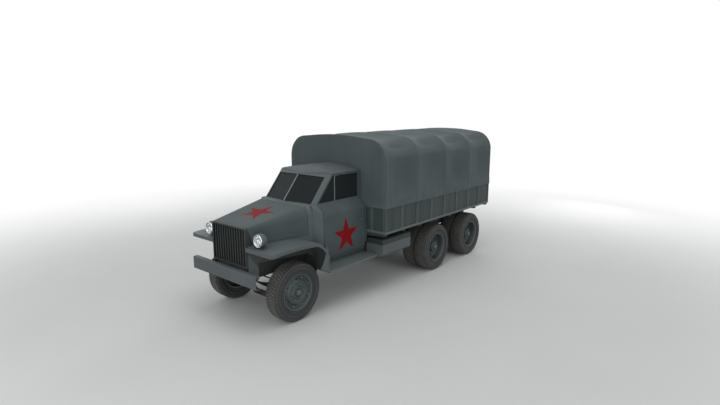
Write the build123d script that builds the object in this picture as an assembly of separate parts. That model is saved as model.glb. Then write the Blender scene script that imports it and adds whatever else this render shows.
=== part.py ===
from build123d import *

import math
import os

# A three-axle military cargo truck: bonneted cab, timber cargo bed under a canvas tilt.
# Millimetres. +X forward, +Y left, +Z up, origin on the ground below the middle of the truck.

os.makedirs("parts", exist_ok=True)

# Wheels and tyres
tyre_radius = 465.0
tyre_width = 240.0
tyre_shoulder = 32.0  # cut off each edge of the tread
rim_radius = 290.0  # where the tyre seats
rim_lip = 28.0  # thickness of the rim's barrel
rim_inset = 22.0  # how far the rim's edge stands inside the tyre's side
wheel_flat_count = 32  # flats round a wheel, one for each pair of tread lugs
spindle_radius = 30.0
hub_clearance = 0.5
turning_gap = 6.0  # between a drum and the fixed face beside it

# Axle places
front_axle_x = 2439.0
front_track = 1488.0
kingpin_track = 1166.0
bogie_x = -1757.5
bogie_spread = 1387.0  # between the two rear axles
rear_track = 1755.0  # between the middles of the twin wheels
twin_spacing = 300.0  # between the middles of the two tyres of a pair

# Chassis
frame_width = 810.0
rail_top_z = 900.0
rail_height = 160.0
rail_flange = 65.0
rail_wall = 8.0
rail_front_x = 3100.0
rail_rear_x = -3060.0
bumper_face_x = 3184.0
bumper_depth = 76.0
bumper_half_width = 798.0
bumper_bottom_z = 689.0
bumper_height = 199.0
bumper_wall = 9.0

# Hood, from the grille back to the cab
grille_x = 3049.0
grille_depth = 30.0
grille_top_z = 1503.0
grille_half_width = 415.0
grille_bars = 12
grille_bar_width = 16.0
grille_frame = 24.0
hood_rear_x = 1990.0
hood_bottom_z = 1245.0
hood_skin = 20.0
panel_gap = 7.0

# Front fenders
fender_half_width = 1013.0
fender_front_x = 3054.0
fender_front_z = 1215.0
fender_crown_z = 1236.0
fender_break_x = 2105.0
fender_break_z = 1206.0
fender_toe_x = 1931.0
fender_toe_z = 1011.0
fender_bottom_z = 690.0
fender_skin = 12.0
fender_lip = 56.0

# Engine, gearbox and shafts
engine_front_x = 2820.0
engine_rear_x = 2020.0
engine_half_width = 225.0
engine_bottom_z = 610.0
engine_top_z = 1290.0
gearbox_rear_x = 1330.0
gearbox_radius = 140.0
shaft_z = 700.0
shaft_radius = 38.0
mount_height = 60.0

# Cab
cab_rear_x = 712.0
cab_front_x = 1905.0
cab_half_width = 775.0
cab_cowl_half_width = 640.0
cab_bend_x = 1650.0  # where the cab starts to narrow forwards
cab_bottom_z = 700.0
belt_z = 1700.0
cab_wall = 36.0
rear_wall = 28.0
glass_half_width = 612.0  # of the upper cab, at its side windows
screen_side_y = 565.0
screen_side_x = 1862.0  # foot of the windscreen at its side
screen_centre_x = 1957.0  # foot of the windscreen at its middle
pillar_x = 1783.0  # foot of the windscreen pillar's rear edge
screen_rake = 0.819  # backwards run of the windscreen for each unit of rise
roof_top_z = 2246.0
roof_edge_z = 2164.0
roof_corner = 46.0  # rounding where the roof meets the sides
roof_skin = 16.0
roof_joint_z = 2144.0
brow_start_x = 1100.0
brow_end_x = 1640.0
brow_end_z = 2125.0
floor_thickness = 20.0
glass_thickness = 6.0
glass_depth = 14.0  # of the glass behind the outer face

# Doors
door_front_x = 1760.0
door_bottom_z = 743.0
door_rear_gap = 12.0
door_frame = 22.0
window_bottom_z = 1704.0
window_top_z = 2121.0
vent_bar_x = 1357.0
vent_bar_width = 20.0

# Running boards, tank and box
board_half_width = 1020.0
board_rear_x = 700.0
board_thickness = 34.0
tank_front_x = 690.0
tank_length = 840.0
tank_width = 370.0
tank_bottom_z = 650.0
tank_height = 318.0
tank_radius = 70.0
side_box_length = 600.0

# Cargo bed
bed_front_x = 697.0
bed_rear_x = -3184.0
bed_half_width = 1187.0
sill_height = 84.0
bearer_height = 87.0
bearer_width = 70.0
floor_height = 45.0
board_height = 419.0
plank = 23.0
batten = 12.0
batten_width = 55.0
batten_pitch = 485.0
tailgate_gap = 7.0

# Canvas tilt
canvas_overhang = 3.0  # of the canvas past the side boards
canvas_bottom_z = 1540.0
canvas_side_z = 2672.0  # where the side and roof planes would meet
canvas_top_z = 2757.0
ridge_radius = 6000.0  # of the roof's crown between its two slopes
canvas_corner = 400.0
canvas_thickness = 8.0
bow_count = 5
bow_width = 40.0
bow_depth = 32.0


# Working values that follow from the sizes above
axle_z = tyre_radius
rail_y = frame_width / 2
rail_bottom_z = rail_top_z - rail_height
web_inner_y = rail_y - rail_wall
bed_bearer_z = rail_top_z + sill_height
bed_floor_z = bed_bearer_z + bearer_height
bed_top_z = bed_floor_z + floor_height
board_top_z = bed_top_z + board_height
canvas_half_width = bed_half_width + canvas_overhang
# The tilt's slopes are tangents from the shoulders to the ridge's arc, and would meet at ridge_z
ridge_drop = ridge_radius - (canvas_top_z - canvas_side_z)
roof_slope = math.tan(
    math.atan2(canvas_half_width, ridge_drop) - math.acos(ridge_radius / math.hypot(canvas_half_width, ridge_drop))
)
ridge_z = canvas_side_z + canvas_half_width * roof_slope
kingpin_y = kingpin_track / 2
wheel_y = front_track / 2
twin_y = rear_track / 2
rear_axles_x = (bogie_x + bogie_spread / 2, bogie_x - bogie_spread / 2)
cab_floor_z = rail_top_z + floor_thickness
door_rear_x = cab_rear_x + rear_wall + door_rear_gap
door_top_z = roof_joint_z - panel_gap


def block(x0, x1, y0, y1, z0, z1):
    """A block between two opposite corners."""
    middle = Pos((x0 + x1) / 2, (y0 + y1) / 2, (z0 + z1) / 2)
    return middle * Box(x1 - x0, y1 - y0, z1 - z0)


def outline(*corners):
    """A flat face from its corners in order, each (u, v) or (u, v, rounding radius)."""
    face = make_face(Polyline(*[corner[:2] for corner in corners], close=True)).face()
    for corner in corners:
        if len(corner) == 3:
            nearest = face.vertices().sort_by_distance((corner[0], corner[1], 0))[0]
            face = face.fillet_2d(corner[2], [nearest])
    return face


def symmetric(*half):
    """The corners of an outline that is the same each side of u = 0, from its half with u > 0."""
    return [*half, *[(-corner[0], *corner[1:]) for corner in reversed(half) if corner[0]]]


def along_x(face, x0, x1):
    """A face drawn in (y, z), carried from x0 to x1."""
    return extrude(Plane.YZ.offset(x0) * face, x1 - x0)


def along_y(face, y0, y1):
    """A face drawn in (x, z), carried from y0 to y1."""
    return extrude(Plane.XZ.offset(-y1) * face, y1 - y0)


def along_z(face, z0, z1):
    """A face drawn in (x, y), carried from z0 to z1."""
    return extrude(Plane.XY.offset(z0) * face, z1 - z0)


def skinned(rings):
    """A solid through rings of matching corners; a side that isn't flat takes two triangles."""
    faces = [Face(Wire.make_polygon(ring)) for ring in (rings[0], rings[-1])]
    for near, beyond in zip(rings, rings[1:]):
        for step in range(len(near)):
            start, end, end_beyond, start_beyond = near[step - 1], near[step], beyond[step], beyond[step - 1]
            twist = (end - start).cross(start_beyond - start).dot(end_beyond - start)
            if abs(twist) < 1:
                faces.append(Face(Wire.make_polygon([start, end, end_beyond, start_beyond])))
            else:
                faces.append(Face(Wire.make_polygon([start, end, end_beyond])))
                faces.append(Face(Wire.make_polygon([start, end_beyond, start_beyond])))
    return Solid(Shell(faces))


def turned(stations, flats=wheel_flat_count):
    """A solid about the Y axis from (y, radius) stations, with flats enough to look round.

    A flat faces down, and the radius is that of the flats.
    """
    turns = [2 * math.pi * (step + 0.5) / flats for step in range(flats)]
    rings = []
    for y, radius in stations:
        reach = radius / math.cos(math.pi / flats)
        rings.append([Vector(reach * math.sin(turn), y, reach * math.cos(turn)) for turn in turns])
    return skinned(rings)


def rod(start, end, radius, flats=None):
    """A bar between two points, round or with flats."""
    path = Vector(*end) - Vector(*start)
    plane = Plane(origin=start, z_dir=path)
    section = RegularPolygon(radius, flats) if flats else Circle(radius)
    return extrude(plane * section, path.length)


def mirrored(shape):
    """The same piece on the other side of the truck."""
    return mirror(shape, about=Plane.XZ)


def save(name, *shapes):
    """Write the solids of one sub-part."""
    solids = [solid for shape in shapes for solid in shape.solids()]
    export_step(solids[0] if len(solids) == 1 else Compound(solids), f"parts/{name}.step")


def save_sides(name, shape):
    """Write a sub-part and its mirror image, each in a node of its own."""
    save(f"{name}_left", shape)
    save(f"{name}_right", mirrored(shape))


# Frame: two channel rails with their open sides facing in, and channel crossmembers between them
rail = along_x(
    outline(
        (rail_y, rail_bottom_z),
        (rail_y, rail_top_z),
        (rail_y - rail_flange, rail_top_z),
        (rail_y - rail_flange, rail_top_z - rail_wall),
        (web_inner_y, rail_top_z - rail_wall),
        (web_inner_y, rail_bottom_z + rail_wall),
        (rail_y - rail_flange, rail_bottom_z + rail_wall),
        (rail_y - rail_flange, rail_bottom_z),
    ),
    rail_rear_x,
    rail_front_x,
)
frame = rail + mirrored(rail)

crossmember_width = 90.0
crossmember_height = rail_height - 2 * rail_wall
crossmembers_x = (rail_front_x - 110, gearbox_rear_x - 150, 560.0, bogie_x + 480, bogie_x - 480, rail_rear_x + 60)


def crossmember(x):
    """A channel across the frame, open below, that fits between the rails' flanges."""
    z1 = rail_top_z - rail_wall
    z0 = z1 - crossmember_height
    outer = block(x - crossmember_width / 2, x + crossmember_width / 2, -web_inner_y, web_inner_y, z0, z1)
    hollow_x = crossmember_width / 2 - rail_wall
    hollow = block(x - hollow_x, x + hollow_x, -web_inner_y, web_inner_y, z0, z1 - rail_wall)
    return outer - hollow


for x in crossmembers_x:
    frame += crossmember(x)

# Front bumper: a channel with its open side to the rear, on two horns from the rails
bumper_top_z = bumper_bottom_z + bumper_height
bumper_section = outline(
    (bumper_face_x - bumper_depth, bumper_bottom_z),
    (bumper_face_x, bumper_bottom_z, 14),
    (bumper_face_x, bumper_top_z, 14),
    (bumper_face_x - bumper_depth, bumper_top_z),
    (bumper_face_x - bumper_depth, bumper_top_z - bumper_wall),
    (bumper_face_x - bumper_wall, bumper_top_z - bumper_wall),
    (bumper_face_x - bumper_wall, bumper_bottom_z + bumper_wall),
    (bumper_face_x - bumper_depth, bumper_bottom_z + bumper_wall),
)
bumper = along_y(bumper_section, -bumper_half_width, bumper_half_width)
for side in (-1, 1):
    horn_y = side * (rail_y - rail_flange / 2)
    bumper += block(
        rail_front_x, bumper_face_x - bumper_wall / 2,
        horn_y - rail_flange / 2, horn_y + rail_flange / 2,
        rail_bottom_z + 12, bumper_top_z - bumper_wall / 2,
    )
save("bumper_front", bumper)

# Tow eyes under the front of the rails
tow_eye_x = rail_front_x - 70
tow_eye_z = rail_bottom_z - 62
tow_eye_radius = 20.0
tow_eye_thickness = 30.0
tow_eye_y = rail_y - rail_flange / 2
tow_eye = along_y(
    outline(
        (tow_eye_x - 70, rail_bottom_z),
        (tow_eye_x + 70, rail_bottom_z),
        (tow_eye_x + 42, tow_eye_z - 42, 38),
        (tow_eye_x - 42, tow_eye_z - 42, 38),
    ),
    tow_eye_y - tow_eye_thickness / 2,
    tow_eye_y + tow_eye_thickness / 2,
)
tow_eye -= rod(
    (tow_eye_x, tow_eye_y - tow_eye_thickness, tow_eye_z),
    (tow_eye_x, tow_eye_y + tow_eye_thickness, tow_eye_z),
    tow_eye_radius,
)
frame += tow_eye + mirrored(tow_eye)

# Rear tow clevis: a plate on the last crossmember with two ears and a bore across them
clevis_x = bed_rear_x + 60
clevis_z = rail_top_z - rail_height / 2
clevis_radius = 21.0
clevis_gap = 70.0
clevis_ear = 26.0
clevis_plate_x = rail_rear_x + 60 - crossmember_width / 2
clevis = block(clevis_plate_x - 20, clevis_plate_x, -110, 110, clevis_z - 64, clevis_z + 60)
for side in (-1, 1):
    ear_y = side * (clevis_gap + clevis_ear) / 2
    ear = along_y(
        outline(
            (clevis_plate_x - 20, clevis_z - 50),
            (clevis_plate_x - 20, clevis_z + 50),
            (clevis_x - 40, clevis_z + 38, 36),
            (clevis_x - 40, clevis_z - 38, 36),
        ),
        ear_y - clevis_ear / 2,
        ear_y + clevis_ear / 2,
    )
    clevis += ear
clevis -= rod((clevis_x, -100, clevis_z), (clevis_x, 100, clevis_z), clevis_radius)
frame += clevis

# Front axle: a dropped forged beam, pocketed to an I section, with a kingpin boss at each end
beam_drop_z = 243.0  # middle of its low centre part
beam_depth = 66.0
beam_thickness = 62.0
beam_web = 20.0
spring_seat_z = 455.0
spring_y = 374.0
spring_width = 58.0
boss_radius = 34.0
kingpin_radius = 15.0
boss_half_height = 38.0


def beam_outline(margin):
    """The beam seen from the front, less a margin on every side."""
    low, high = beam_drop_z - beam_depth / 2 + margin, beam_drop_z + beam_depth / 2 - margin
    seat = spring_seat_z - margin
    return outline(
        *symmetric(
            (180 + margin / 2, low),
            (216 + margin / 2, low + 14),
            (298 + margin / 2, seat - beam_depth - 20 + 2 * margin),
            (326 + margin / 2, seat - beam_depth + 2 * margin),
            (kingpin_y - 20, axle_z - boss_half_height + margin + 6),
            (kingpin_y - 20, axle_z + boss_half_height - margin - 6),
            (spring_y + 42, seat),
            (spring_y - 38 + margin, seat),
            (spring_y - 64 + margin / 2, seat - 16),
            (204 - margin / 2, high + 16),
            (176 - margin / 2, high),
        )
    )


def across_axle(face, thickness):
    """A face drawn from the front, carried the same way each side of the front axle."""
    return along_x(face, front_axle_x - thickness / 2, front_axle_x + thickness / 2)


front_beam = across_axle(beam_outline(0), beam_thickness)
pockets = across_axle(beam_outline(12), beam_thickness) - across_axle(beam_outline(0), beam_web)
front_beam -= pockets
for side in (-1, 1):
    foot = (front_axle_x, side * kingpin_y, axle_z - boss_half_height)
    head = (front_axle_x, side * kingpin_y, axle_z + boss_half_height)
    front_beam += rod(foot, head, boss_radius)
    front_beam -= rod(foot, head, kingpin_radius + hub_clearance)
    front_beam += block(
        front_axle_x - beam_thickness / 2, front_axle_x + beam_thickness / 2,
        side * spring_y - spring_width / 2 - 6, side * spring_y + spring_width / 2 + 6,
        spring_seat_z - 14, spring_seat_z,
    )
save("front_axle_beam", front_beam)

# Knuckles: a fork about each boss with its kingpin, spindle and steering arm
ear_thickness = 32.0
ear_gap = 3.0
knuckle_web_y = kingpin_y + boss_radius + ear_gap
spindle_end_y = wheel_y + 66
arm_length = 185.0
arm_thickness = 24.0
ball_pin_radius = 10.0
ear_z = boss_half_height + ear_gap
arm_x = front_axle_x - arm_length
arm_top_z = axle_z - ear_z
knuckle = block(
    front_axle_x - 36, front_axle_x + 36, knuckle_web_y, knuckle_web_y + 26,
    axle_z - ear_z - ear_thickness, axle_z + ear_z + ear_thickness,
)
for z0 in (axle_z + ear_z, axle_z - ear_z - ear_thickness):
    knuckle += block(
        front_axle_x - 36, front_axle_x + 36, kingpin_y - 30, knuckle_web_y + 26, z0, z0 + ear_thickness
    )
knuckle += rod(
    (front_axle_x, kingpin_y, axle_z - ear_z), (front_axle_x, kingpin_y, axle_z + ear_z), kingpin_radius
)
knuckle += rod((front_axle_x, knuckle_web_y + 20, axle_z), (front_axle_x, spindle_end_y, axle_z), spindle_radius, 16)
knuckle += along_z(
    outline(
        (front_axle_x - 20, kingpin_y - 30),
        (front_axle_x - 20, kingpin_y + 30),
        (arm_x - 22, kingpin_y + 20, 18),
        (arm_x - 22, kingpin_y - 20, 18),
    ),
    arm_top_z - arm_thickness,
    arm_top_z,
)
rod_end_height = 24.0
knuckle += rod((arm_x, kingpin_y, arm_top_z), (arm_x, kingpin_y, arm_top_z + rod_end_height), ball_pin_radius)
save_sides("steering_knuckle", knuckle)

# Tie rod: a bar behind the axle with an eye on each arm's pin
tie_rod_z = arm_top_z + 1 + rod_end_height / 2
tie_rod = rod((arm_x, -kingpin_y, tie_rod_z), (arm_x, kingpin_y, tie_rod_z), 12, 8)
for side in (-1, 1):
    eye_foot = (arm_x, side * kingpin_y, arm_top_z + 1)
    eye_head = (arm_x, side * kingpin_y, arm_top_z + 1 + rod_end_height)
    tie_rod += rod(eye_foot, eye_head, ball_pin_radius + 12, 8)
for side in (-1, 1):
    eye_foot = (arm_x, side * kingpin_y, arm_top_z)
    eye_head = (arm_x, side * kingpin_y, arm_top_z + 2 + rod_end_height)
    tie_rod -= rod(eye_foot, eye_head, ball_pin_radius + 1)
save("tie_rod", tie_rod)

# Leaf springs: each pack is a stack of arcs that get shorter away from the main leaf
leaf = 10.0


def leaf_pack(half_length, rise, leaves, upwards):
    """The stepped outline of a leaf pack, its main leaf's middle at the origin.

    Its ends stand above the middle by the rise. With upwards 1 the shorter leaves lie above it.
    """
    radius = (half_length**2 + rise**2) / (2 * rise)
    pack = None
    for count in range(leaves):
        reach = half_length * (1 - 0.8 * count / leaves)
        inner = radius - leaf * (count + 1) if upwards > 0 else radius + leaf * count
        outer = inner + leaf
        ring = Pos(0, radius) * (Circle(outer) - Circle(inner))
        strip = Pos(0, rise / 2) * Rectangle(2 * reach, rise + 12 * leaf)
        piece = ring & strip
        pack = piece if pack is None else pack + piece
    return pack


front_spring_reach = 470.0
front_spring_rise = 175.0
front_leaves = 8
spring_top_z = spring_seat_z + front_leaves * leaf
front_pack = Pos(front_axle_x, spring_top_z) * leaf_pack(front_spring_reach, front_spring_rise, front_leaves, -1)
front_spring = along_y(front_pack, spring_y - spring_width / 2, spring_y + spring_width / 2)
save("front_springs", front_spring, mirrored(front_spring))

hangers = []
for end in (-1, 1):
    hanger_x = front_axle_x + end * (front_spring_reach - 26)
    hanger = along_y(
        outline(
            (hanger_x - 60, rail_bottom_z),
            (hanger_x + 60, rail_bottom_z),
            (hanger_x + 34, spring_top_z + front_spring_rise - 60, 12),
            (hanger_x - 34, spring_top_z + front_spring_rise - 60, 12),
        ),
        rail_y - rail_flange,
        rail_y,
    )
    hangers.append(hanger - front_spring)
for hanger in hangers:
    frame += hanger + mirrored(hanger)

# Rear bogie: axles of banjo form, a trunnion between them and a leaf pack on each side
axle_tube_radius = 56.0
rear_spring_y = 455.0
rear_spring_width = 66.0
rear_seat_z = axle_z + 84
trunnion_z = 606.0
trunnion_radius = 44.0
rear_spindle_radius = 42.0
drum_inner_y = 592.0
rear_spindle_end_y = twin_y + 100
banjo_radius = 176.0


def rear_axle(x):
    """A banjo housing on its tube, with spring seats, brake plates and a spindle at each end."""
    tube_end = drum_inner_y - turning_gap
    tube = turned([(-tube_end, axle_tube_radius), (tube_end, axle_tube_radius)], 12)
    banjo = turned([(-120, 90), (-60, banjo_radius), (60, banjo_radius), (120, 90)], 16)
    tube += Rot(0, 0, 90) * banjo
    for side in (-1, 1):
        plate_y = side * (tube_end - 7)
        tube += turned([(plate_y - 7, 196), (plate_y + 7, 196)], 16)
        root = (0, plate_y, 0)
        tube += rod(root, (0, side * rear_spindle_end_y, 0), rear_spindle_radius, 16)
        tube += block(
            -70, 70,
            side * rear_spring_y - rear_spring_width / 2, side * rear_spring_y + rear_spring_width / 2,
            0, rear_seat_z - axle_z,
        )
    return Pos(x, 0, axle_z) * tube


rear_axles = [rear_axle(x) for x in rear_axles_x]

rear_spring_sag = 96.0
rear_leaves = 5
saddle_z = rear_seat_z + rear_spring_sag
rear_pack = leaf_pack(bogie_spread / 2 + 60, rear_spring_sag, rear_leaves, -1)
rear_pack = Pos(bogie_x, saddle_z) * mirror(rear_pack, about=Plane.XZ)
rear_spring = along_y(rear_pack, rear_spring_y - rear_spring_width / 2, rear_spring_y + rear_spring_width / 2)
rear_spring -= block(
    rear_axles_x[1] - 80, rear_axles_x[0] + 80, rear_spring_y - 60, rear_spring_y + 60, 0, rear_seat_z
)
save("rear_springs", rear_spring, mirrored(rear_spring))

trunnion_half = rear_spring_y + rear_spring_width / 2
trunnion = rod((bogie_x, -trunnion_half, trunnion_z), (bogie_x, trunnion_half, trunnion_z), trunnion_radius, 12)
for side in (-1, 1):
    trunnion += along_y(
        outline(
            (bogie_x - 190, rail_bottom_z),
            (bogie_x + 190, rail_bottom_z),
            (bogie_x + 62, trunnion_z - 60, 40),
            (bogie_x - 62, trunnion_z - 60, 40),
        ),
        side * rail_y - (rail_flange if side > 0 else 0),
        side * rail_y + (rail_flange if side < 0 else 0),
    )
    trunnion += block(
        bogie_x - 74, bogie_x + 74,
        side * rear_spring_y - rear_spring_width / 2, side * rear_spring_y + rear_spring_width / 2,
        trunnion_z, saddle_z,
    )
trunnion -= rear_spring + mirrored(rear_spring)
frame += trunnion

torque_rod_radius = 19.0
torque_rod_y = 270.0
braced_axles = []
for axle_x, axle in zip(rear_axles_x, rear_axles):
    for side in (-1, 1):
        start = (bogie_x, side * torque_rod_y, trunnion_z)
        end = (axle_x, side * torque_rod_y, axle_z)
        axle += rod(start, end, torque_rod_radius, 8) - trunnion
    braced_axles.append(axle)
save("rear_axles", *braced_axles)

# Engine, gearbox and shafts
engine = along_x(
    outline(
        *symmetric(
            (120, engine_bottom_z), (engine_half_width, engine_bottom_z + 190),
            (engine_half_width, engine_top_z - 120), (150, engine_top_z),
        )
    ),
    engine_rear_x,
    engine_front_x,
)
for mount_x in (engine_rear_x + 80, engine_front_x - 140):
    engine += block(
        mount_x, mount_x + 70, -web_inner_y, web_inner_y,
        rail_bottom_z + rail_wall, rail_bottom_z + rail_wall + mount_height,
    )

gearbox = turned(
    [(gearbox_rear_x, 95), (gearbox_rear_x + 120, gearbox_radius),
     (engine_rear_x - 130, gearbox_radius), (engine_rear_x, gearbox_radius + 30)],
    16,
)
gearbox = Pos(0, 0, shaft_z) * Rot(0, 0, -90) * gearbox
engine += gearbox
save("engine_block", engine)

shafts = []
front_shaft_start = (gearbox_rear_x + 10, 0, shaft_z)
front_shaft_end = (rear_axles_x[0] + 120, 0, axle_z + 20)
shafts.append(rod(front_shaft_start, front_shaft_end, shaft_radius, 12))
shafts.append(rod((rear_axles_x[0] - 120, 0, axle_z), (rear_axles_x[1] + 120, 0, axle_z), shaft_radius, 12))
shafts = [shaft - rear_axles[0] - rear_axles[1] - engine for shaft in shafts]
save("propshafts", *shafts)

# Hood form: a ruled loft from the grille's outline to the cab's
hood_low_z = 700.0
side_batter = 0.02  # how much the nose widens downwards
nose_front_fall = 34.0  # height of the rounded shoulder at the grille
nose_rear_fall = 190.0
nose_rear_width = cab_cowl_half_width - screen_side_y + 20
shoulder_count = 6  # flats round the shoulder


def hood_form(inset=0.0):
    """The whole nose from the grille to the cab, less an inset at its top and sides."""
    rings = []
    for x, half, top_z, shoulder_width, shoulder_fall in (
        (grille_x, grille_half_width, grille_top_z, 22, nose_front_fall),
        (cab_front_x, cab_cowl_half_width, belt_z, nose_rear_width, nose_rear_fall),
    ):
        side_top_z = top_z - shoulder_fall
        low_half = half + side_batter * (side_top_z - hood_low_z)
        corners = [(0, hood_low_z), (low_half - inset, hood_low_z)]
        for step in range(shoulder_count + 1):
            turn = math.radians(90) * step / shoulder_count
            y = half - shoulder_width * (1 - math.cos(turn))
            z = side_top_z + shoulder_fall * math.sin(turn)
            corners.append((y - inset, z - inset))
        corners.append((0, top_z - inset))
        rings.append([Vector(x, y, z) for y, z in corners])
    half_nose = skinned(rings)
    return half_nose + mirrored(half_nose)


hood_outer = hood_form()
hood_shell = hood_outer - hood_form(hood_skin)
far = 2000.0  # wider than the truck

# The hood's shut line slants rearwards down its cheeks, so that they swing clear of the grille
nose_slope = (belt_z - grille_top_z) / (grille_x - cab_front_x)
hood_hinge_x = hood_rear_x + panel_gap / 2
hood_hinge_z = grille_top_z + nose_slope * (grille_x - hood_hinge_x)
hood_end_x = grille_x - grille_depth - panel_gap
hood_end_z = grille_top_z + nose_slope * (grille_x - hood_end_x)
hood_swing = math.hypot(hood_end_x - hood_hinge_x, hood_end_z - hood_hinge_z)
hood_shut_x = hood_hinge_x + math.sqrt(hood_swing**2 - (hood_hinge_z - hood_bottom_z) ** 2)


def behind_shut_line(shift):
    """All that lies behind the hood's shut line, moved forwards by a shift."""
    return along_y(
        outline(
            (hood_rear_x - 100, hood_bottom_z - 1),
            (hood_shut_x + shift, hood_bottom_z - 1),
            (hood_end_x + shift, grille_top_z - 10),
            (hood_end_x + shift, belt_z + 50),
            (hood_rear_x - 100, belt_z + 50),
        ),
        -far,
        far,
    )


hood = hood_shell & block(hood_rear_x + panel_gap, hood_end_x, -far, far, hood_bottom_z, far)
hood &= behind_shut_line(0)
save("hood", hood)
cheeks = hood_shell & block(hood_hinge_x, grille_x - grille_depth, -far, far, hood_bottom_z, grille_top_z)
cheeks -= behind_shut_line(panel_gap)

bay_top_z = hood_bottom_z - panel_gap
bay_front_x = grille_x - grille_depth
bay_bottom_z = 2 * tyre_radius + 15
apron_rear_x = front_axle_x + 421  # ahead of the steered tyre
bay_sides = hood_shell & along_y(
    outline(
        (hood_rear_x, bay_bottom_z),
        (apron_rear_x, bay_bottom_z),
        (apron_rear_x, hood_low_z - 1),
        (bay_front_x, hood_low_z - 1),
        (bay_front_x, bay_top_z),
        (hood_rear_x, bay_top_z),
    ),
    -far,
    far,
)
save("engine_bay_sides", bay_sides)

cowl = hood_shell & block(cab_front_x, hood_rear_x, -far, far, rail_top_z, far)

# Grille: the nose's outline as a frame with upright bars
grille_slab = hood_outer & block(grille_x - grille_depth, grille_x, -far, far, rail_top_z, far)
grille_opening = hood_form(grille_frame) & block(
    grille_x - grille_depth - 1, grille_x + 1, -far, far, rail_top_z + grille_frame, far
)
grille = grille_slab - grille_opening
bar_pitch = 2 * (grille_half_width - grille_frame / 2) / (grille_bars + 1)
bars = [
    block(
        grille_x - grille_depth + 4, grille_x - 4,
        (place - (grille_bars - 1) / 2) * bar_pitch - grille_bar_width / 2,
        (place - (grille_bars - 1) / 2) * bar_pitch + grille_bar_width / 2,
        rail_top_z, far,
    )
    for place in range(grille_bars)
]
for bar in bars:
    grille += bar & grille_slab
save("grille", grille + cheeks)

radiator = along_y(
    outline(
        (grille_x - 150, rail_top_z), (grille_x - 70, rail_top_z),
        (grille_x - 70, grille_top_z - 70), (grille_x - 150, grille_top_z - 70, 30),
    ),
    -grille_half_width + 45,
    grille_half_width - 45,
)
save("radiator", radiator)

# Front fenders: a crowned sheet that breaks down to the running board, with a turned-down lip
fender_heel_z = fender_toe_z - 90
crown_steps = 6
crown_rise = fender_crown_z - (fender_front_z + fender_break_z) / 2
crown = []
for step in range(crown_steps + 1):
    along = step / crown_steps
    crown.append(
        (
            fender_front_x + along * (fender_break_x - fender_front_x),
            fender_front_z + along * (fender_break_z - fender_front_z) + 4 * crown_rise * along * (1 - along),
        )
    )
fender_face = outline(
    *crown,
    (fender_toe_x, fender_toe_z),
    (cab_front_x, fender_heel_z),
    (cab_front_x, fender_bottom_z),
    (fender_front_x, fender_bottom_z),
)
for corner_x, corner_z, cut in ((fender_break_x, fender_break_z, 60), (fender_toe_x, fender_toe_z, 36)):
    nearest = fender_face.vertices().sort_by_distance((corner_x, corner_z, 0))[0]
    fender_face = fender_face.chamfer_2d(cut, cut, [nearest])
# Its inner edge follows the side of the nose, which is a plane
nose_side_y = grille_half_width + side_batter * (grille_top_z - nose_front_fall)
cab_side_y = cab_cowl_half_width + side_batter * (belt_z - nose_rear_fall)
flare = (cab_side_y - nose_side_y) / (grille_x - cab_front_x)
fender_plan = along_z(
    outline(
        (cab_front_x, 0),
        (fender_front_x, 0),
        (fender_front_x, fender_half_width - 30),
        (fender_front_x - 30, fender_half_width),
        (cab_front_x, fender_half_width),
    ),
    0,
    far,
)
inner_cut = extrude(
    outline(
        (cab_front_x - 50, -far),
        (grille_x + 50, -far),
        (grille_x + 50, nose_side_y - 50 * flare),
        (cab_front_x - 50, cab_side_y + 50 * flare),
    ),
    far,
    dir=(0, -side_batter, 1),
)
fender_block = (along_y(fender_face, 0, far) & fender_plan) - inner_cut
fender_inner = offset(fender_face, -fender_skin, kind=Kind.INTERSECTION)
fender_hollow = along_y(fender_inner, 0, fender_half_width - fender_skin)
lip_start_x = fender_toe_x + 2 * fender_skin
below_lip = along_y(Pos(0, -fender_lip) * fender_face, 0, far) & block(lip_start_x, far * 2, 0, far, 0, far)
fender = fender_block - fender_hollow - below_lip
fender -= block(cab_front_x + fender_skin, far * 2, 0, far, 0, fender_heel_z)
save("fenders", fender, mirrored(fender))

# Headlamps on short feet on the fenders
lamp_x = 2986.0
lamp_y = 617.0
lamp_z = 1340.0
lamp_radius = 108.0
lamp_depth = 150.0
lens_radius = 96.0
lens_thickness = 14.0
lamp_bowl = turned(
    [(-lamp_depth, 34), (-lamp_depth + 40, 76), (-60, lamp_radius - 4), (-20, lamp_radius), (0, lamp_radius)], 24
)
lamp_bowl -= turned([(-lens_thickness, lens_radius), (1, lens_radius)], 20)
lens = turned([(-lens_thickness, lens_radius), (-4, lens_radius), (6, lens_radius - 34)], 20)
place_lamp = Pos(lamp_x, lamp_y, lamp_z) * Rot(0, 0, -90)
lamp_foot = rod((lamp_x - 62, lamp_y, fender_front_z - 20), (lamp_x - 62, lamp_y, lamp_z - 60), 26, 8)
lamp = place_lamp * lamp_bowl + (lamp_foot - fender_block)
save("headlamps", lamp, mirrored(lamp))
lens = place_lamp * lens
save("headlamp_lenses", lens, mirrored(lens))

# Running boards on arms from the rails
board_top = cab_bottom_z
board_bottom_z = board_top - board_thickness
board_inner_y = cab_half_width - 90
arm_height = 46.0
running_board = block(board_rear_x, cab_front_x, board_inner_y, board_half_width, board_bottom_z, board_top)
for step_x in (board_rear_x + 190, (board_rear_x + cab_front_x) / 2, cab_front_x - 190):
    running_board += along_x(
        outline(
            (rail_y, rail_bottom_z + 8),
            (rail_y, rail_bottom_z + 8 + arm_height),
            (board_inner_y - 40, board_bottom_z),
            (board_half_width - 40, board_bottom_z),
            (board_half_width - 40, board_bottom_z - 10),
            (board_inner_y - 40, board_bottom_z - arm_height + 6),
        ),
        step_x - 22,
        step_x + 22,
    )
save("running_boards", running_board, mirrored(running_board))

# Cab form: a lower body from its cross-section and plan, and an upper body raked with the windscreen


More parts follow.
